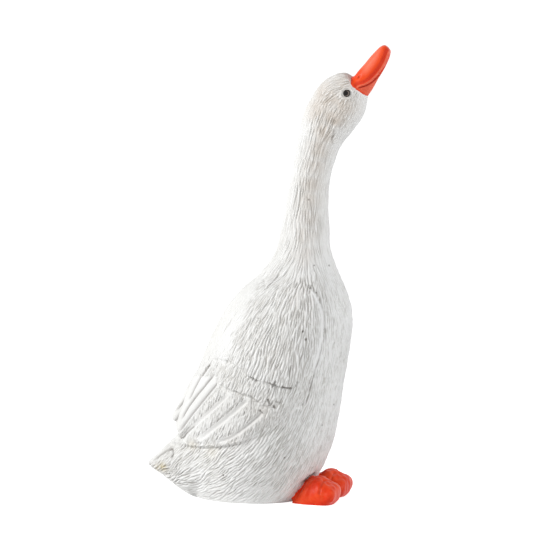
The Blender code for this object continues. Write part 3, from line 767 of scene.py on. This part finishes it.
def lie_of_feathers(x, z):
    guides = np.array(LIE)
    weight = 1.0 / (((x - guides[:, 0]) ** 2 + (z - guides[:, 1]) ** 2) ** 1.5 + 1.0)
    way = (guides[:, 2:] * weight[:, None]).sum(axis=0)
    angle = math.atan2(way[1], way[0])
    sway = 0.7 if z < 150 else 0.2
    return angle + sway * (0.09 * math.sin(0.33 * x + 0.12 * z) + 0.07 * math.sin(0.21 * z - 0.27 * x + 1.0))


def carve(points, normals, area):
    """Depth that thousands of tapered strokes cut at each point, their raised lips and the dirt in some."""
    chance = random.Random(SEED)
    tree = KDTree(len(points))
    for i, point in enumerate(points):
        tree.insert(point, i)
    tree.balance()
    x, z, wx, wz = side_view(points)
    depth = np.zeros(len(points))
    ridge = np.zeros(len(points))
    dirt = np.zeros(len(points))
    taken = area == BARE
    order = list(range(len(points)))
    chance.shuffle(order)
    for i in order:
        if taken[i]:
            continue
        length, pitch, deep, half = STROKES[area[i]]
        length *= chance.uniform(0.6, 1.35)
        deep *= chance.uniform(0.55, 1.2)
        half *= chance.uniform(0.8, 1.25)
        bend = chance.uniform(-0.06, 0.06)
        wave = chance.uniform(-0.025, 0.025)
        stained = chance.random() < (0.12 if x[i] < -15 and z[i] < 46 else 0.03)
        dirty = 0.40 if stained and z[i] < 150 else 0.0
        deep *= 0.60 + 0.40 * min(1.0, max(0.0, (z[i] - 3.0) / 11.0))
        if area[i] == THROAT:
            # The nape is cut deeper than the sides of the neck.
            ahead = x[i] - 24.4 - 0.13 * (z[i] - 176.0)
            deep *= 0.76 + 0.24 * min(1.0, max(0.0, (2.0 - ahead) / 8.0))
        angle = lie_of_feathers(x[i], z[i]) + chance.gauss(0.0, 0.05 if z[i] < 150 else 0.03)
        if area[i] == VANES:
            angle += 0.30
        forward = np.array((math.cos(angle), 0.0, math.sin(angle)))
        normal = normals[i]
        forward -= normal * forward.dot(normal)
        slant = np.linalg.norm(forward)
        if slant < 0.15:
            taken[i] = True
            continue
        forward /= slant
        across = np.cross(normal, forward)
        near = np.array([found[1] for found in tree.find_range(points[i], length * 0.52)])
        offset = points[near] - points[i]
        along = offset.dot(forward) / (length / 2)
        aside = offset.dot(across) - bend * length * (along**2 - 0.3) - wave * length * np.sin(3.0 * along)
        level = (np.abs(offset.dot(normal)) < 3.0) & (area[near] != BARE)
        taper = np.clip(1 - along**2, 0.0, 1.0) ** 0.8
        # A stroke is steep on one side and runs out gently on the other.
        slope = np.where(aside < 0, 0.62 * half, 1.45 * half)
        cut = deep * taper * np.exp(-((aside / slope) ** 2)) * level
        lip = 0.32 * deep * taper * np.exp(-(((aside + 1.75 * half) / (0.9 * half)) ** 2)) * level
        depth[near] = np.maximum(depth[near], cut)
        ridge[near] = np.maximum(ridge[near], lip)
        dirt[near] = np.maximum(dirt[near], dirty * (cut / deep) ** 2)
        taken[near[(np.abs(aside) < pitch / 2) & (np.abs(along) < 0.85)]] = True
    return depth, ridge, dirt


# Putting the piece together

def cut_level(form, height, way):
    """Takes off what lies past a level, upward or downward, and closes the cut with flat faces."""
    everything = form.verts[:] + form.edges[:] + form.faces[:]
    level = (0.0, 0.0, height)
    bmesh.ops.bisect_plane(
        form, geom=everything, dist=1e-7, plane_co=level, plane_no=(0, 0, way), clear_outer=True
    )
    rim = [edge for edge in form.edges if edge.is_boundary]
    lid = bmesh.ops.holes_fill(form, edges=rim, sides=0)["faces"]
    for edge in rim:
        edge.smooth = False
    bmesh.ops.triangulate(form, faces=lid)


def drop_crumbs(form):
    """Keeps only the skin that holds the highest point."""
    top = max(form.verts, key=lambda vert: vert.co.z)
    kept = {top}
    reached = [top]
    for vert in reached:
        for edge in vert.link_edges:
            other = edge.other_vert(vert)
            if other not in kept:
                kept.add(other)
                reached.append(other)
    bmesh.ops.delete(form, geom=[vert for vert in form.verts if vert not in kept], context="VERTS")


def note(mesh, name, values):
    """Numbers on the points of the mesh, for the paint to read."""
    layer = mesh.attributes.new(name, "FLOAT", "POINT")
    layer.data.foreach_set("value", np.asarray(values, dtype=np.float32))


def blotch(x, z, spots):
    """Soft round spots in side view: x, z, reach, strength."""
    value = np.zeros(len(x))
    for spot_x, spot_z, reach, strength in spots:
        value = np.maximum(value, strength * np.exp(-((x - spot_x) ** 2 + (z - spot_z) ** 2) / reach**2))
    return value


def note_paint(mesh, points, depth, ridge, dark, foot_away, past_edge):
    """Notes what the paint has to know about each point: carving with a painted highlight on raised parts,
    dirt and painted shade, stains partly painted shade, distances to its edges.
    """
    x, z, wx, wz = side_view(points)
    mouth, share = from_mouth(x, z)
    patchy = 0.60 + 0.40 * np.sin(2.3 * x + 1.7 * z) * np.sin(1.5 * points[:, 1] + 1.0)
    # Painted shade in the hollow where each foot meets the body, patchy along it.
    crevice_shade = 0.95 * patchy * np.exp(-(((foot_away - 1.8) / 0.80) ** 2)) * smoothstep(10.0, 15.0, z)
    faint = 1 - 0.7 * smoothstep(2.0, -12.0, x - MANTLE_LEAN * (z - MANTLE_Z)) * smoothstep(88.0, 100.0, z)
    groove = faint * np.clip(depth / 0.80, 0.0, 1.0) ** 0.8
    # A painted highlight on the bead along the wing's front edge; with the raised lips of the strokes it is
    # noted as negative carving.
    away, share, side = path_distance(wx, wz, WING_EDGE, closed=True)
    bead_highlight = np.exp(-(((away - 1.3) / 0.8) ** 2)) * inside_outline(wx, wz, WING_EDGE)
    bead_highlight *= smoothstep(34.0, 38.0, wx) * smoothstep(88.0, 94.0, wz)
    raised = np.maximum(np.clip(ridge / 0.2, 0.0, 1.0), bead_highlight)
    note(mesh, "carved", np.where(depth > ridge, groove, -raised))
    # The nostril's hole is painted dark: painted shade.
    nostril = 0.75 * np.exp(-((x - NOSTRIL[0]) ** 2 + (z - NOSTRIL[1]) ** 2) / 0.8**2)
    note(mesh, "dark", np.maximum.reduce([dark, crevice_shade, nostril]))
    note(mesh, "bill", past_edge)
    note(mesh, "mouth", np.clip(mouth, -9.0, 9.0))
    note(mesh, "foot", 1.1 - np.clip(foot_away, 0.0, 20.0))
    note(mesh, "warm", blotch(x, z, WARM_SPOTS))
    note(mesh, "yellow", blotch(x, z, YELLOW_SPOTS))
    note(mesh, "eye_across", np.clip(x - EYE[0], -9.0, 9.0))
    note(mesh, "eye_up", np.clip(z - EYE[1], -9.0, 9.0))


def build_goose():
    right_rings = foot_rings(-1, 0.0)
    left_rings = foot_rings(1, FAR_FOOT_AHEAD)
    feet = [skin_of("right_foot", right_rings), skin_of("left_foot", left_rings)]
    bill = [profile_ring(row, BILL_WIDTH, fullness=0.85) for row in between(BILL, 4)]
    tail = [profile_ring(row, TAIL_WIDTH, fullness=0.9) for row in between(TAIL, 4)]
    wings = [wing_rings(-1, 0.0, 1.0), wing_rings(1, FAR_WING_LIFT, FAR_WING_REACH)]
    rough = skin_of("rough_goose", body_rings(), bill, tail, *wings, right_rings, left_rings)
    mesh = finished_by(rough, "rough_goose", fuse)
    points = points_of(mesh)
    normals = normals_of(mesh)
    foot_away = foot_distance(points, feet)
    on_foot = 1 - smoothstep(0.5, 1.4, foot_away)
    past_edge = past_bill_edge(points)
    relief = wing_relief(points, normals) + face_relief(points, normals, past_edge)
    relief += foot_relief(points, on_foot) + hand_unevenness(points)
    cuts, dark = cuts_and_pits(points, normals)
    pushed(mesh, relief - cuts)
    points = points_of(mesh)
    normals = normals_of(mesh)
    area = plumage_areas(points, on_foot, past_edge)
    depth, ridge, dirt = carve(points, normals, area)
    pushed(mesh, ridge - depth, normals)
    note_paint(mesh, points, depth, ridge, np.maximum(dark, dirt), foot_away, past_edge)
    return sections_of(mesh)


def sections_of(mesh):
    """The closed sections of the finished surface, and the matrix that puts the drawing in its place."""
    whole = bmesh.new()
    whole.from_mesh(mesh)
    cut_level(whole, 0.0, -1)
    drop_crumbs(whole)
    for face in whole.faces:
        face.smooth = True
    corners = np.array([vert.co for vert in whole.verts])
    low = Vector(corners.min(axis=0))
    high = Vector(corners.max(axis=0))
    fit = [min(1.0, (cad_high[i] - cad_low[i]) / (high[i] - low[i])) for i in range(3)]
    middle = Vector(((low.x + high.x) / 2, (low.y + high.y) / 2, low.z))
    stand = Vector(((cad_low.x + cad_high.x) / 2, (cad_low.y + cad_high.y) / 2, cad_low.z))
    place = Matrix.Translation(stand) @ Matrix.Diagonal((*fit, 1.0)) @ Matrix.Translation(-middle)
    bmesh.ops.transform(whole, matrix=place, verts=whole.verts)
    pieces = []
    for name, bottom, top in SECTIONS:
        form = whole.copy()
        if bottom > 0.0:
            cut_level(form, bottom * MM, -1)
        if top < ABOVE_ALL:
            cut_level(form, top * MM, 1)
        section = bpy.data.meshes.new(name)
        form.to_mesh(section)
        form.free()
        piece = bpy.data.objects.new(name, section)
        bpy.context.scene.collection.objects.link(piece)
        pieces.append(piece)
    whole.free()
    return pieces, place


# Paint

FRESH_WHITE = (0.870, 0.870, 0.860)
DULL_WHITE = (0.825, 0.822, 0.805)
HIGHLIGHT_WHITE = (0.930, 0.930, 0.920)
WARM_STAIN_AND_SHADE = (0.540, 0.440, 0.345)
YELLOW_STAIN = (0.620, 0.520, 0.280)
THIN_WASH = (0.300, 0.270, 0.225)
SPECK = (0.160, 0.120, 0.085)
DIRT_AND_SHADE = (0.085, 0.062, 0.045)
DEEP_ORANGE = (0.760, 0.034, 0.005)
PLAIN_ORANGE = (0.860, 0.068, 0.012)
STREAK_ORANGE = (0.860, 0.130, 0.050)
BILL_TOP = (0.980, 0.088, 0.012)
BILL_HIGHLIGHT = (1.000, 0.215, 0.125)
BILL_SHADE = (0.620, 0.030, 0.012)
LOWER_BILL = (0.800, 0.180, 0.105)
BILL_LIP_HIGHLIGHT = (0.930, 0.230, 0.140)
MOUTH_SLIT_SHADE = (0.220, 0.012, 0.008)
ORANGE_DIRT_AND_SHADE = (0.100, 0.014, 0.008)
PUPIL = (0.004, 0.003, 0.003)
IRIS_AND_GLINT = (0.200, 0.160, 0.140)
EYE_RIM = (0.006, 0.005, 0.004)


class Nodes:
    """A short way to place and link shader nodes in one tree."""

    def __init__(self, tree):
        self.tree = tree

    def add(self, kind, links=None, **settings):
        node = self.tree.nodes.new(kind)
        for name, value in settings.items():
            setattr(node, name, value)
        for socket, value in (links or {}).items():
            target = node.inputs[socket]
            if isinstance(value, bpy.types.NodeSocket):
                self.tree.links.new(value, target)
            else:
                target.default_value = value
        return node

    def maths(self, how, a, b=0.0, c=0.0):
        return self.add("ShaderNodeMath", {0: a, 1: b, 2: c}, operation=how).outputs[0]

    def ramp(self, value, low, high, to_low=0.0, to_high=1.0):
        sockets = {"Value": value, "From Min": low, "From Max": high, "To Min": to_low, "To Max": to_high}
        return self.add("ShaderNodeMapRange", sockets, interpolation_type="SMOOTHSTEP").outputs["Result"]

    def mix(self, amount, a, b):
        """Mix of two colours, each a socket or three numbers."""
        colours = [value if isinstance(value, bpy.types.NodeSocket) else (*value, 1.0) for value in (a, b)]
        sockets = {0: amount, 6: colours[0], 7: colours[1]}
        return self.add("ShaderNodeMix", sockets, data_type="RGBA").outputs[2]

    def blend(self, amount, a, b):
        """Mix of two plain values."""
        return self.add("ShaderNodeMix", {0: amount, 2: a, 3: b}).outputs[0]

    def noise(self, vector, scale, detail=3.0, roughness=0.5):
        sockets = {"Vector": vector, "Scale": scale, "Detail": detail, "Roughness": roughness}
        return self.add("ShaderNodeTexNoise", sockets).outputs["Fac"]

    def length(self, a, b):
        return self.maths("SQRT", self.maths("MULTIPLY_ADD", a, a, self.maths("MULTIPLY", b, b)))

    def stretched(self, vector, scale):
        return self.add("ShaderNodeMapping", {"Vector": vector, "Scale": scale}).outputs["Vector"]


def new_group(name, inputs, outputs):
    tree = bpy.data.node_groups.new(name, "ShaderNodeTree")
    for label, kind in inputs:
        tree.interface.new_socket(label, in_out="INPUT", socket_type=kind)
    for label, kind in outputs:
        tree.interface.new_socket(label, in_out="OUTPUT", socket_type=kind)
    nodes = Nodes(tree)
    return tree, nodes, nodes.add("NodeGroupInput").outputs, nodes.add("NodeGroupOutput").inputs


def plumage_group():
    """White paint with a thin grey-brown wash left in the carving, warm patches that are partly stains and
    partly painted shade, a painted highlight on raised lips, small pits of dirt, and dark paint that is
    partly dirt and partly painted shade.
    """
    inputs = [("Vector", "NodeSocketVector"), ("Carved", "NodeSocketFloat"), ("Warm", "NodeSocketFloat")]
    inputs += [("Yellow", "NodeSocketFloat"), ("Dark", "NodeSocketFloat")]
    outputs = [("Color", "NodeSocketColor"), ("Roughness", "NodeSocketFloat"), ("Height", "NodeSocketFloat")]
    tree, nodes, given, wanted = new_group("plumage_paint", inputs, outputs)
    place = given["Vector"]
    broad = nodes.noise(place, 28.0, 2.0)
    middle = nodes.noise(place, 130.0, 3.0)
    fine = nodes.noise(place, 900.0, 3.0, 0.6)
    white = nodes.mix(nodes.ramp(broad, 0.35, 0.68), FRESH_WHITE, DULL_WHITE)
    # The warm patches are partly stains and partly painted shade.
    warmth = nodes.maths("MULTIPLY", given["Warm"], nodes.ramp(middle, 0.25, 0.75, 0.60, 1.0))
    tinted = nodes.mix(warmth, white, WARM_STAIN_AND_SHADE)
    aged = nodes.mix(nodes.maths("MULTIPLY", given["Yellow"], 0.75), tinted, YELLOW_STAIN)
    broken = nodes.ramp(middle, 0.25, 0.75, 0.65, 1.0)
    groove = nodes.ramp(given["Carved"], 0.35, 1.0)
    wash = nodes.maths("MULTIPLY", nodes.maths("MULTIPLY", groove, broken), 0.44)
    # Raised lips of the strokes and the wing's front bead are painted lighter: a painted highlight.
    brushed = nodes.mix(nodes.ramp(given["Carved"], -0.15, -0.95, 0.0, 0.75), aged, HIGHLIGHT_WHITE)
    washed = nodes.mix(wash, brushed, THIN_WASH)
    specks = nodes.ramp(nodes.noise(place, 420.0, 2.0, 0.7), 0.72, 0.80)
    dirt = nodes.maths("MULTIPLY", specks, nodes.ramp(broad, 0.50, 0.66, 0.0, 0.50))
    dirty = nodes.mix(dirt, washed, SPECK)
    # Dark paint: dirt in the stained strokes and holes, painted shade in creases, slots, channels and
    # hollows.
    nodes.tree.links.new(nodes.mix(given["Dark"], dirty, DIRT_AND_SHADE), wanted["Color"])
    nodes.tree.links.new(nodes.maths("MULTIPLY_ADD", middle, 0.22, 0.52), wanted["Roughness"])
    grain = nodes.maths("MULTIPLY_ADD", fine, 0.6, nodes.maths("MULTIPLY", middle, 0.5))
    nodes.tree.links.new(grain, wanted["Height"])
    return tree


def orange_group():
    """Orange-red paint, brushed on, with a painted highlight along the top and on the lip of the bill,
    painted shade in the band above the lip, in the mouth's groove and in the creases, and dirt.
    """
    inputs = [("Vector", "NodeSocketVector"), ("Mouth", "NodeSocketFloat"), ("Bill", "NodeSocketFloat")]
    inputs += [("Dark", "NodeSocketFloat")]
    outputs = [("Color", "NodeSocketColor"), ("Roughness", "NodeSocketFloat"), ("Height", "NodeSocketFloat")]
    tree, nodes, given, wanted = new_group("orange_paint", inputs, outputs)
    place = given["Vector"]
    mouth = given["Mouth"]

    def laid(under, amount, strength, colour):
        return nodes.mix(nodes.maths("MULTIPLY", amount, strength), under, colour)

    def band(start, full, fade, end):
        return nodes.maths("MULTIPLY", nodes.ramp(mouth, start, full), nodes.ramp(mouth, end, fade))

    broad = nodes.noise(place, 90.0, 3.0)
    streaks = nodes.noise(nodes.stretched(place, (260.0, 700.0, 260.0)), 1.0, 3.0, 0.6)
    past_edge = nodes.ramp(given["Bill"], 0.0, 1.5)
    outer = nodes.ramp(given["Bill"], 6.0, 13.0)

    def on_bill(amount):
        return nodes.maths("MULTIPLY", past_edge, amount)

    colour = nodes.mix(nodes.ramp(broad, 0.32, 0.70), DEEP_ORANGE, PLAIN_ORANGE)
    colour = laid(colour, nodes.ramp(streaks, 0.45, 0.75), 0.30, STREAK_ORANGE)
    colour = laid(colour, on_bill(nodes.ramp(mouth, 2.5, 5.0)), 0.60, BILL_TOP)
    # A painted highlight along the top of the bill.
    colour = laid(colour, nodes.maths("MULTIPLY", outer, nodes.ramp(mouth, 4.8, 8.0)), 0.66, BILL_HIGHLIGHT)
    colour = laid(colour, on_bill(band(1.7, 2.6, 3.4, 5.2)), 0.60, BILL_SHADE)
    colour = laid(colour, on_bill(nodes.ramp(mouth, 0.2, -0.8)), 0.55, LOWER_BILL)
    # A painted highlight on the lip of the upper bill.
    colour = laid(colour, on_bill(band(0.5, 1.0, 1.4, 2.1)), 0.60, BILL_LIP_HIGHLIGHT)
    # Painted shade in the groove of the mouth, stronger toward the base of the bill.
    slit_shade = on_bill(nodes.ramp(nodes.maths("ABSOLUTE", mouth), 0.65, 0.20))
    inner = nodes.ramp(given["Bill"], 19.0, 12.0, 0.25, 1.0)
    colour = laid(colour, nodes.maths("MULTIPLY", slit_shade, inner), 0.70, MOUTH_SLIT_SHADE)
    # Dirt and painted shade from the dark notes, at the ankles and the nostril.
    colour = laid(colour, given["Dark"], 0.75, ORANGE_DIRT_AND_SHADE)
    nodes.tree.links.new(colour, wanted["Color"])
    nodes.tree.links.new(nodes.maths("MULTIPLY_ADD", streaks, 0.20, 0.30), wanted["Roughness"])
    nodes.tree.links.new(nodes.maths("MULTIPLY_ADD", streaks, 0.5, broad), wanted["Height"])
    return tree


def eye_group():
    """Painted eye: dark rim, a dark pupil set toward the back, and beside it a grey-brown crescent that is
    partly iris and partly a painted glint, by distance from the middle of the eye.
    """
    inputs = [("Across", "NodeSocketFloat"), ("Up", "NodeSocketFloat")]
    outputs = [("Color", "NodeSocketColor"), ("Mask", "NodeSocketFloat")]
    tree, nodes, given, wanted = new_group("painted_eye", inputs, outputs)
    away = nodes.length(given["Across"], given["Up"])
    pupil_across = nodes.maths("ADD", given["Across"], 0.45)
    pupil_up = nodes.maths("ADD", given["Up"], -0.10)
    from_pupil = nodes.length(pupil_across, pupil_up)
    iris = nodes.mix(nodes.ramp(from_pupil, 1.42, 1.62), PUPIL, IRIS_AND_GLINT)
    rimmed = nodes.mix(nodes.ramp(away, 1.65, 1.90), iris, EYE_RIM)
    nodes.tree.links.new(rimmed, wanted["Color"])
    nodes.tree.links.new(nodes.ramp(away, 2.50, 2.25), wanted["Mask"])
    return tree


def painted_resin():
    material = bpy.data.materials.new("painted_resin")
    material.use_nodes = True
    tree = material.node_tree
    shader = tree.nodes["Principled BSDF"]
    nodes = Nodes(tree)
    where = nodes.add("ShaderNodeTexCoord").outputs["Object"]

    def noted(name):
        return nodes.add("ShaderNodeAttribute", attribute_name=name).outputs["Fac"]

    def placed(group, links):
        return nodes.add("ShaderNodeGroup", links, node_tree=group).outputs

    wobble = nodes.maths("MULTIPLY_ADD", nodes.noise(where, 700.0, 2.0), 1.1, -0.55)
    bill = nodes.maths("ADD", noted("bill"), wobble)
    foot = nodes.maths("ADD", noted("foot"), wobble)
    painted = nodes.maths("MAXIMUM", bill, foot)
    feathers = {"Vector": where, "Carved": noted("carved"), "Dark": noted("dark")}
    feathers |= {"Warm": noted("warm"), "Yellow": noted("yellow")}
    plumage = placed(plumage_group(), feathers)
    brushed = {"Vector": where, "Mouth": noted("mouth"), "Bill": noted("bill"), "Dark": noted("dark")}
    orange = placed(orange_group(), brushed)
    eye = placed(eye_group(), {"Across": noted("eye_across"), "Up": noted("eye_up")})
    is_orange = nodes.ramp(painted, -0.12, 0.12)
    colour = nodes.mix(is_orange, plumage["Color"], orange["Color"])
    colour = nodes.mix(eye["Mask"], colour, eye["Color"])
    tree.links.new(colour, shader.inputs["Base Color"])
    rough = nodes.blend(is_orange, plumage["Roughness"], orange["Roughness"])
    rough = nodes.blend(eye["Mask"], rough, 0.5)
    tree.links.new(rough, shader.inputs["Roughness"])
    height = nodes.blend(is_orange, plumage["Height"], orange["Height"])
    bump = nodes.add("ShaderNodeBump", {"Height": height, "Strength": 0.35, "Distance": 0.00045})
    tree.links.new(bump.outputs["Normal"], shader.inputs["Normal"])
    shader.inputs["Specular IOR Level"].default_value = 0.18
    return material


# The room

ROOM_LIGHT = 0.345
FLOOR_GREY = (0.80, 0.80, 0.80)
FLOOR_GLOW = 0.80
FLOOR_HALF = 30.0
# The camera stands as the photo's did. START_PIXEL is where the side drawing's zero point lies in the
# square photo, and PHOTO_MIDDLE is the middle of its width and height.
AZIMUTH = 12.0
ELEVATION = 7.0
LENS = 400.0
SENSOR = 36.0
PHOTO_WIDTH = 551.0
PHOTO_MIDDLE = 275.5
START_PIXEL = (268.5, 498.0)
MM_PER_PIXEL = 0.655
HALF_DEPTH = 18.0


def stage_material(name, colour, glow):
    material = bpy.data.materials.new(name)
    material.use_nodes = True
    tree = material.node_tree
    nodes = Nodes(tree)
    shader = tree.nodes["Principled BSDF"]
    shader.inputs["Base Color"].default_value = (*colour, 1.0)
    shader.inputs["Roughness"].default_value = 1.0
    shader.inputs["Specular IOR Level"].default_value = 0.0
    light = nodes.add("ShaderNodeLightPath").outputs
    seen = nodes.maths("MAXIMUM", light["Is Camera Ray"], light["Is Glossy Ray"])
    shader.inputs["Emission Color"].default_value = (1, 1, 1, 1)
    tree.links.new(nodes.maths("MULTIPLY", seen, glow), shader.inputs["Emission Strength"])
    return material


def lamp(name, place, target, size, watts, colour):
    light = bpy.data.lights.new(name, "AREA")
    light.shape = "DISK"
    light.size = size
    light.energy = watts
    light.color = colour
    thing = bpy.data.objects.new(name, light)
    thing.location = place
    thing.rotation_mode = "QUATERNION"
    thing.rotation_quaternion = (Vector(place) - Vector(target)).to_track_quat("Z", "Y")
    thing.visible_camera = False
    bpy.context.scene.collection.objects.link(thing)


def light_room():
    scene = bpy.context.scene
    scene.view_settings.view_transform = "Standard"
    world = bpy.data.worlds.new("room")
    world.use_nodes = True
    scene.world = world
    nodes = Nodes(world.node_tree)
    background = world.node_tree.nodes["Background"]
    light = nodes.add("ShaderNodeLightPath").outputs
    seen = nodes.maths("MAXIMUM", light["Is Camera Ray"], light["Is Glossy Ray"])
    background.inputs["Color"].default_value = (1, 1, 1, 1)
    strength = nodes.ramp(seen, 0.0, 1.0, ROOM_LIGHT, 1.0)
    world.node_tree.links.new(strength, background.inputs["Strength"])
    middle = (0.0, 0.0, 0.14)
    lamp("key", (-1.38, -0.72, 0.80), middle, 0.6, 18.5, (1.0, 0.997, 0.990))
    lamp("front", (0.30, -1.50, 0.85), middle, 1.2, 5.3, (0.98, 0.99, 1.0))
    lamp("rim", (1.45, -0.10, 0.65), middle, 0.7, 8.0, (0.96, 0.975, 1.0))


def lay_floor():
    form = bmesh.new()
    bmesh.ops.create_grid(form, x_segments=2, y_segments=2, size=FLOOR_HALF)
    mesh = bpy.data.meshes.new("floor")
    form.to_mesh(mesh)
    form.free()
    floor = bpy.data.objects.new("floor", mesh)
    mesh.materials.append(stage_material("pale_floor", FLOOR_GREY, FLOOR_GLOW))
    bpy.context.scene.collection.objects.link(floor)


def set_camera(place):
    azimuth = math.radians(AZIMUTH)
    elevation = math.radians(ELEVATION)
    level = math.cos(elevation)
    rise = math.sin(elevation)
    right = Vector((math.cos(azimuth), math.sin(azimuth), 0.0))
    up = Vector((-math.sin(azimuth) * rise, math.cos(azimuth) * rise, level))
    back = Vector((math.sin(azimuth) * level, -math.cos(azimuth) * level, rise))
    across = (PHOTO_MIDDLE - START_PIXEL[0]) * MM_PER_PIXEL
    above = (START_PIXEL[1] - PHOTO_MIDDLE) * MM_PER_PIXEL
    middle = place @ ((right * across + up * above + back * HALF_DEPTH) * MM)
    data = bpy.data.cameras.new("camera")
    data.lens = LENS
    data.sensor_width = SENSOR
    camera = bpy.data.objects.new("camera", data)
    camera.location = middle + back * (PHOTO_WIDTH * MM_PER_PIXEL * MM * LENS / SENSOR)
    camera.rotation_mode = "QUATERNION"
    camera.rotation_quaternion = back.to_track_quat("Z", "Y")
    bpy.context.scene.collection.objects.link(camera)
    bpy.context.scene.camera = camera


pieces, place = build_goose()
resin = painted_resin()
for piece in pieces:
    piece.data.materials.clear()
    piece.data.materials.append(resin)
    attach(piece, "root")
    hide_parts("goose_figurine")
light_room()
lay_floor()
set_camera(place)
